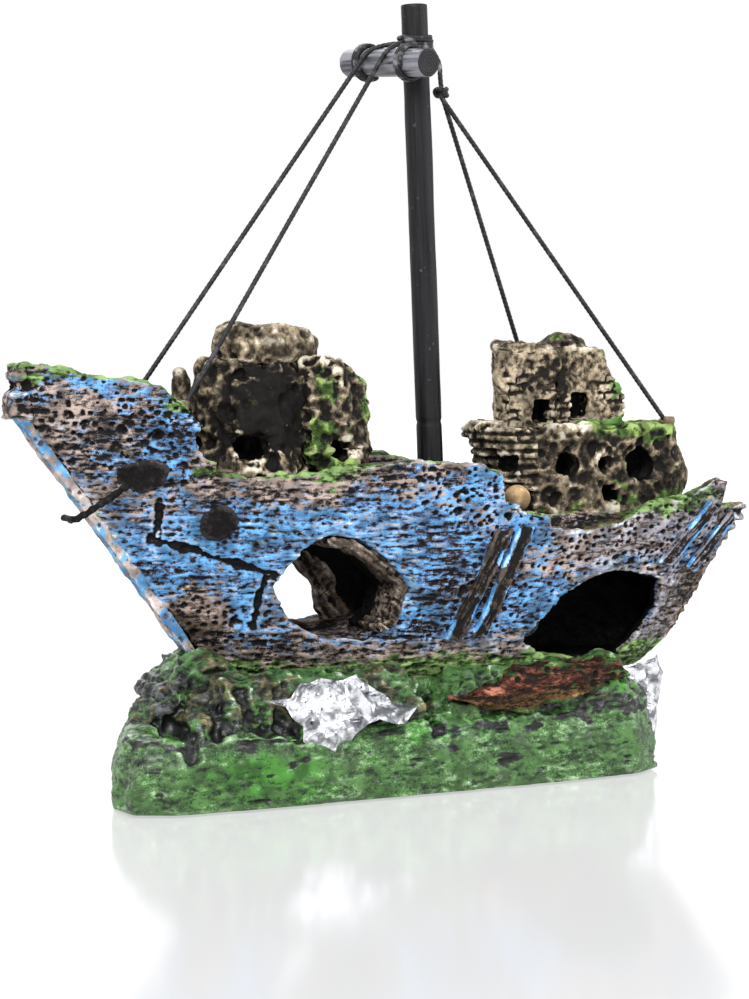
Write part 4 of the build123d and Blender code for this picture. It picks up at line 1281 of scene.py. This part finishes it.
def centreline(route):
    """Even points along the NURBS curve of a route, in mm."""
    curve = bpy.data.curves.new("route", "CURVE")
    curve.dimensions = "3D"
    curve.resolution_u = 32
    spline = curve.splines.new("NURBS")
    spline.points.add(len(route) - 1)
    for point, place in zip(spline.points, route):
        point.co = (*place, 1.0)
    spline.order_u = 3
    spline.use_endpoint_u = True
    mesh = evaluated(curve)
    line = read(mesh.vertices, "co", 3)
    bpy.data.meshes.remove(mesh)
    run = distance_along(line)
    even = np.linspace(0, run[-1], int(run[-1] / CORD_PITCH) + 1)
    return np.column_stack([np.interp(even, run, line[:, axis]) for axis in range(3)]), run[-1]


def laid_tube(line, twist=0.0):
    """Mesh of laid cord round a line, its strands turned by a twist at the start."""
    ahead = np.gradient(line, axis=0)
    ahead /= np.linalg.norm(ahead, axis=1)[:, None]
    first = np.empty_like(ahead)
    first[0] = across(ahead[0])[0]
    for k in range(1, len(line)):
        first[k] = unit(first[k - 1] - ahead[k] * (first[k - 1] @ ahead[k]))
    second = np.cross(ahead, first)
    run = distance_along(line)
    turn = np.arange(CORD_SIDES) * 2 * pi / CORD_SIDES
    circle = np.cos(turn)[None, :, None] * first[:, None] + (
        np.sin(turn)[None, :, None] * second[:, None])
    phase = STRANDS * (turn[None, :] + 2 * pi * run[:, None] / LAY + twist) / 2
    reach = CORD_RADIUS * (0.8 + 0.2 * np.abs(np.cos(phase)))
    reach *= np.minimum(1.0, 0.35 + np.minimum(run, run[-1] - run)[:, None] / 0.3)
    points = line[:, None] + reach[..., None] * circle
    return ringed(points.reshape(-1, 3), len(line))


def cord_paint(name, glints):
    """Black waxed cord with painted grey glints on its strands."""
    paint = Paint(name, 0.5, 0.3)
    fuzz = paint.noise(0.35, 3.0)
    # Painted highlight: grey glints laid in patches, their share set by glints.
    painted_glint_patches = paint.step(paint.noise(1.6, 4.0), 0.5, 0.7)
    colour = paint.mix(fuzz, shade(10, 10, 12), shade(44, 44, 47))
    return paint.finish(paint.mix(paint.times(painted_glint_patches, glints), colour, shade(190, 190, 194)),
                        paint.step(fuzz, 0.3, 0.7, 0.4, 0.65), fuzz, 0.08)


def make_stays(material):
    """Four taut cords from the yard and the knot to the deck."""
    routes = {}
    for name, (foot, crossing, end) in FORE_STAYS.items():
        corner = YARD_MIDDLE + YARD_AXIS * crossing + (-OVER_YARD / 2, 0.0, OVER_YARD)
        approach = corner + unit(foot - corner) * BEND_REACH
        routes[name] = [np.array(foot), approach, corner, np.array(end)]
    for name, (foot, start) in AFT_STAYS.items():
        foot, start = np.array(foot), np.array(start)
        routes[name] = [foot, (foot + start) / 2, start]
    for index, (name, route) in enumerate(routes.items()):
        line, length = centreline(route)
        piece = Skin(laid_tube(line, twist=index)).finish(name + "_cord", material, "cord", [name])


def turns_round(centre, axis, radius, width, count, wobble, seed):
    """Line of a cord wound round a bar: count turns over the width."""
    first, second = across(axis)
    angle = np.linspace(0, 2 * pi * count, int(60 * count))
    along = (angle / angle[-1] - 0.5) * width
    points = np.column_stack([angle, angle * 0, angle * 0])
    drift = wobble * waves(points, 1.7, seed)
    reach = radius + 0.5 * np.abs(drift)
    return centre + (along + drift)[:, None] * np.asarray(axis) + reach[:, None] * (
        np.cos(angle)[:, None] * first + np.sin(angle)[:, None] * second)


def make_lashings(material):
    """Turns of cord that bind the yard to the mast, the tail, and the knot behind it."""
    around_mast = turns_round(
        CROSSING + MAST_AXIS * 3.4, MAST_AXIS, MAST_RADIUS + 0.4, 2.2, 3.4, 0.25, 801)
    Skin(laid_tube(around_mast)).finish("mast_lashing_turns", material, "cord", ["mast_lashing"])
    for name, offset, width, count in [("yard_lashing_near", 3.9, 1.5, 2.3),
                                       ("yard_lashing_far", -7.4, 1.6, 2.6)]:
        around = turns_round(YARD_MIDDLE + YARD_AXIS * offset, YARD_AXIS, YARD_RADIUS + 0.42,
                             width, count, 0.2, 805)
        Skin(laid_tube(around)).finish(name + "_turns", material, "cord", [name])
    tail, _ = centreline([(6.4, -0.2, 128.1), (8.6, -0.2, 125.6), (8.6, -0.2, 122.4), tuple(KNOT)])
    Skin(laid_tube(tail)).finish("lashing_tail_cord", material, "cord", ["lashing_tail"])
    t = np.linspace(0, 2 * pi, 160)
    loop = np.column_stack([
        np.sin(t) + 2 * np.sin(2 * t), np.cos(t) - 2 * np.cos(2 * t), -1.4 * np.sin(3 * t)])
    knot = laid_tube(KNOT + loop * KNOT_SIZE)
    Skin(knot).finish("stay_knot_cord", material, "cord", ["stay_knot"])


def make_glue():
    """Small set drops of glue at the stays' feet."""
    paint = Paint("set_glue", 0.35, 0.45)
    cloud = paint.noise(0.8, 3.0)
    paint.finish(paint.mix(cloud, shade(70, 58, 44), shade(146, 122, 90)),
                 paint.step(cloud, 0.3, 0.7, 0.3, 0.5), cloud, 0.08)
    for index, stay in enumerate([*FORE_STAYS, *AFT_STAYS]):
        skin = casting([stay + "_plug"], voxel=0.16, rounds=14)
        skin.push(0.15 * fbm(skin.points, 1.3, 820 + index, 2))
        skin.finish(stay + "_glue", paint.material, "glue", [stay + "_plug"])


make_camera()
make_stays(cord_paint("black_cord", 0.12))
make_lashings(cord_paint("glinting_cord", 0.5))
for lamp in LAMPS:
    make_lamp(*lamp)
make_world()
make_floor()
make_hull()
make_stem_bar()
make_timbers()
make_dark_fittings()
make_tunnel_wood()
make_fore_rocks()
make_terrace()
make_castle()
make_pebble()
make_reef()
make_rust_patch()
make_foil()
make_spars()
make_air_fitting()
make_glue()

bpy.context.scene.view_settings.view_transform = "Standard"
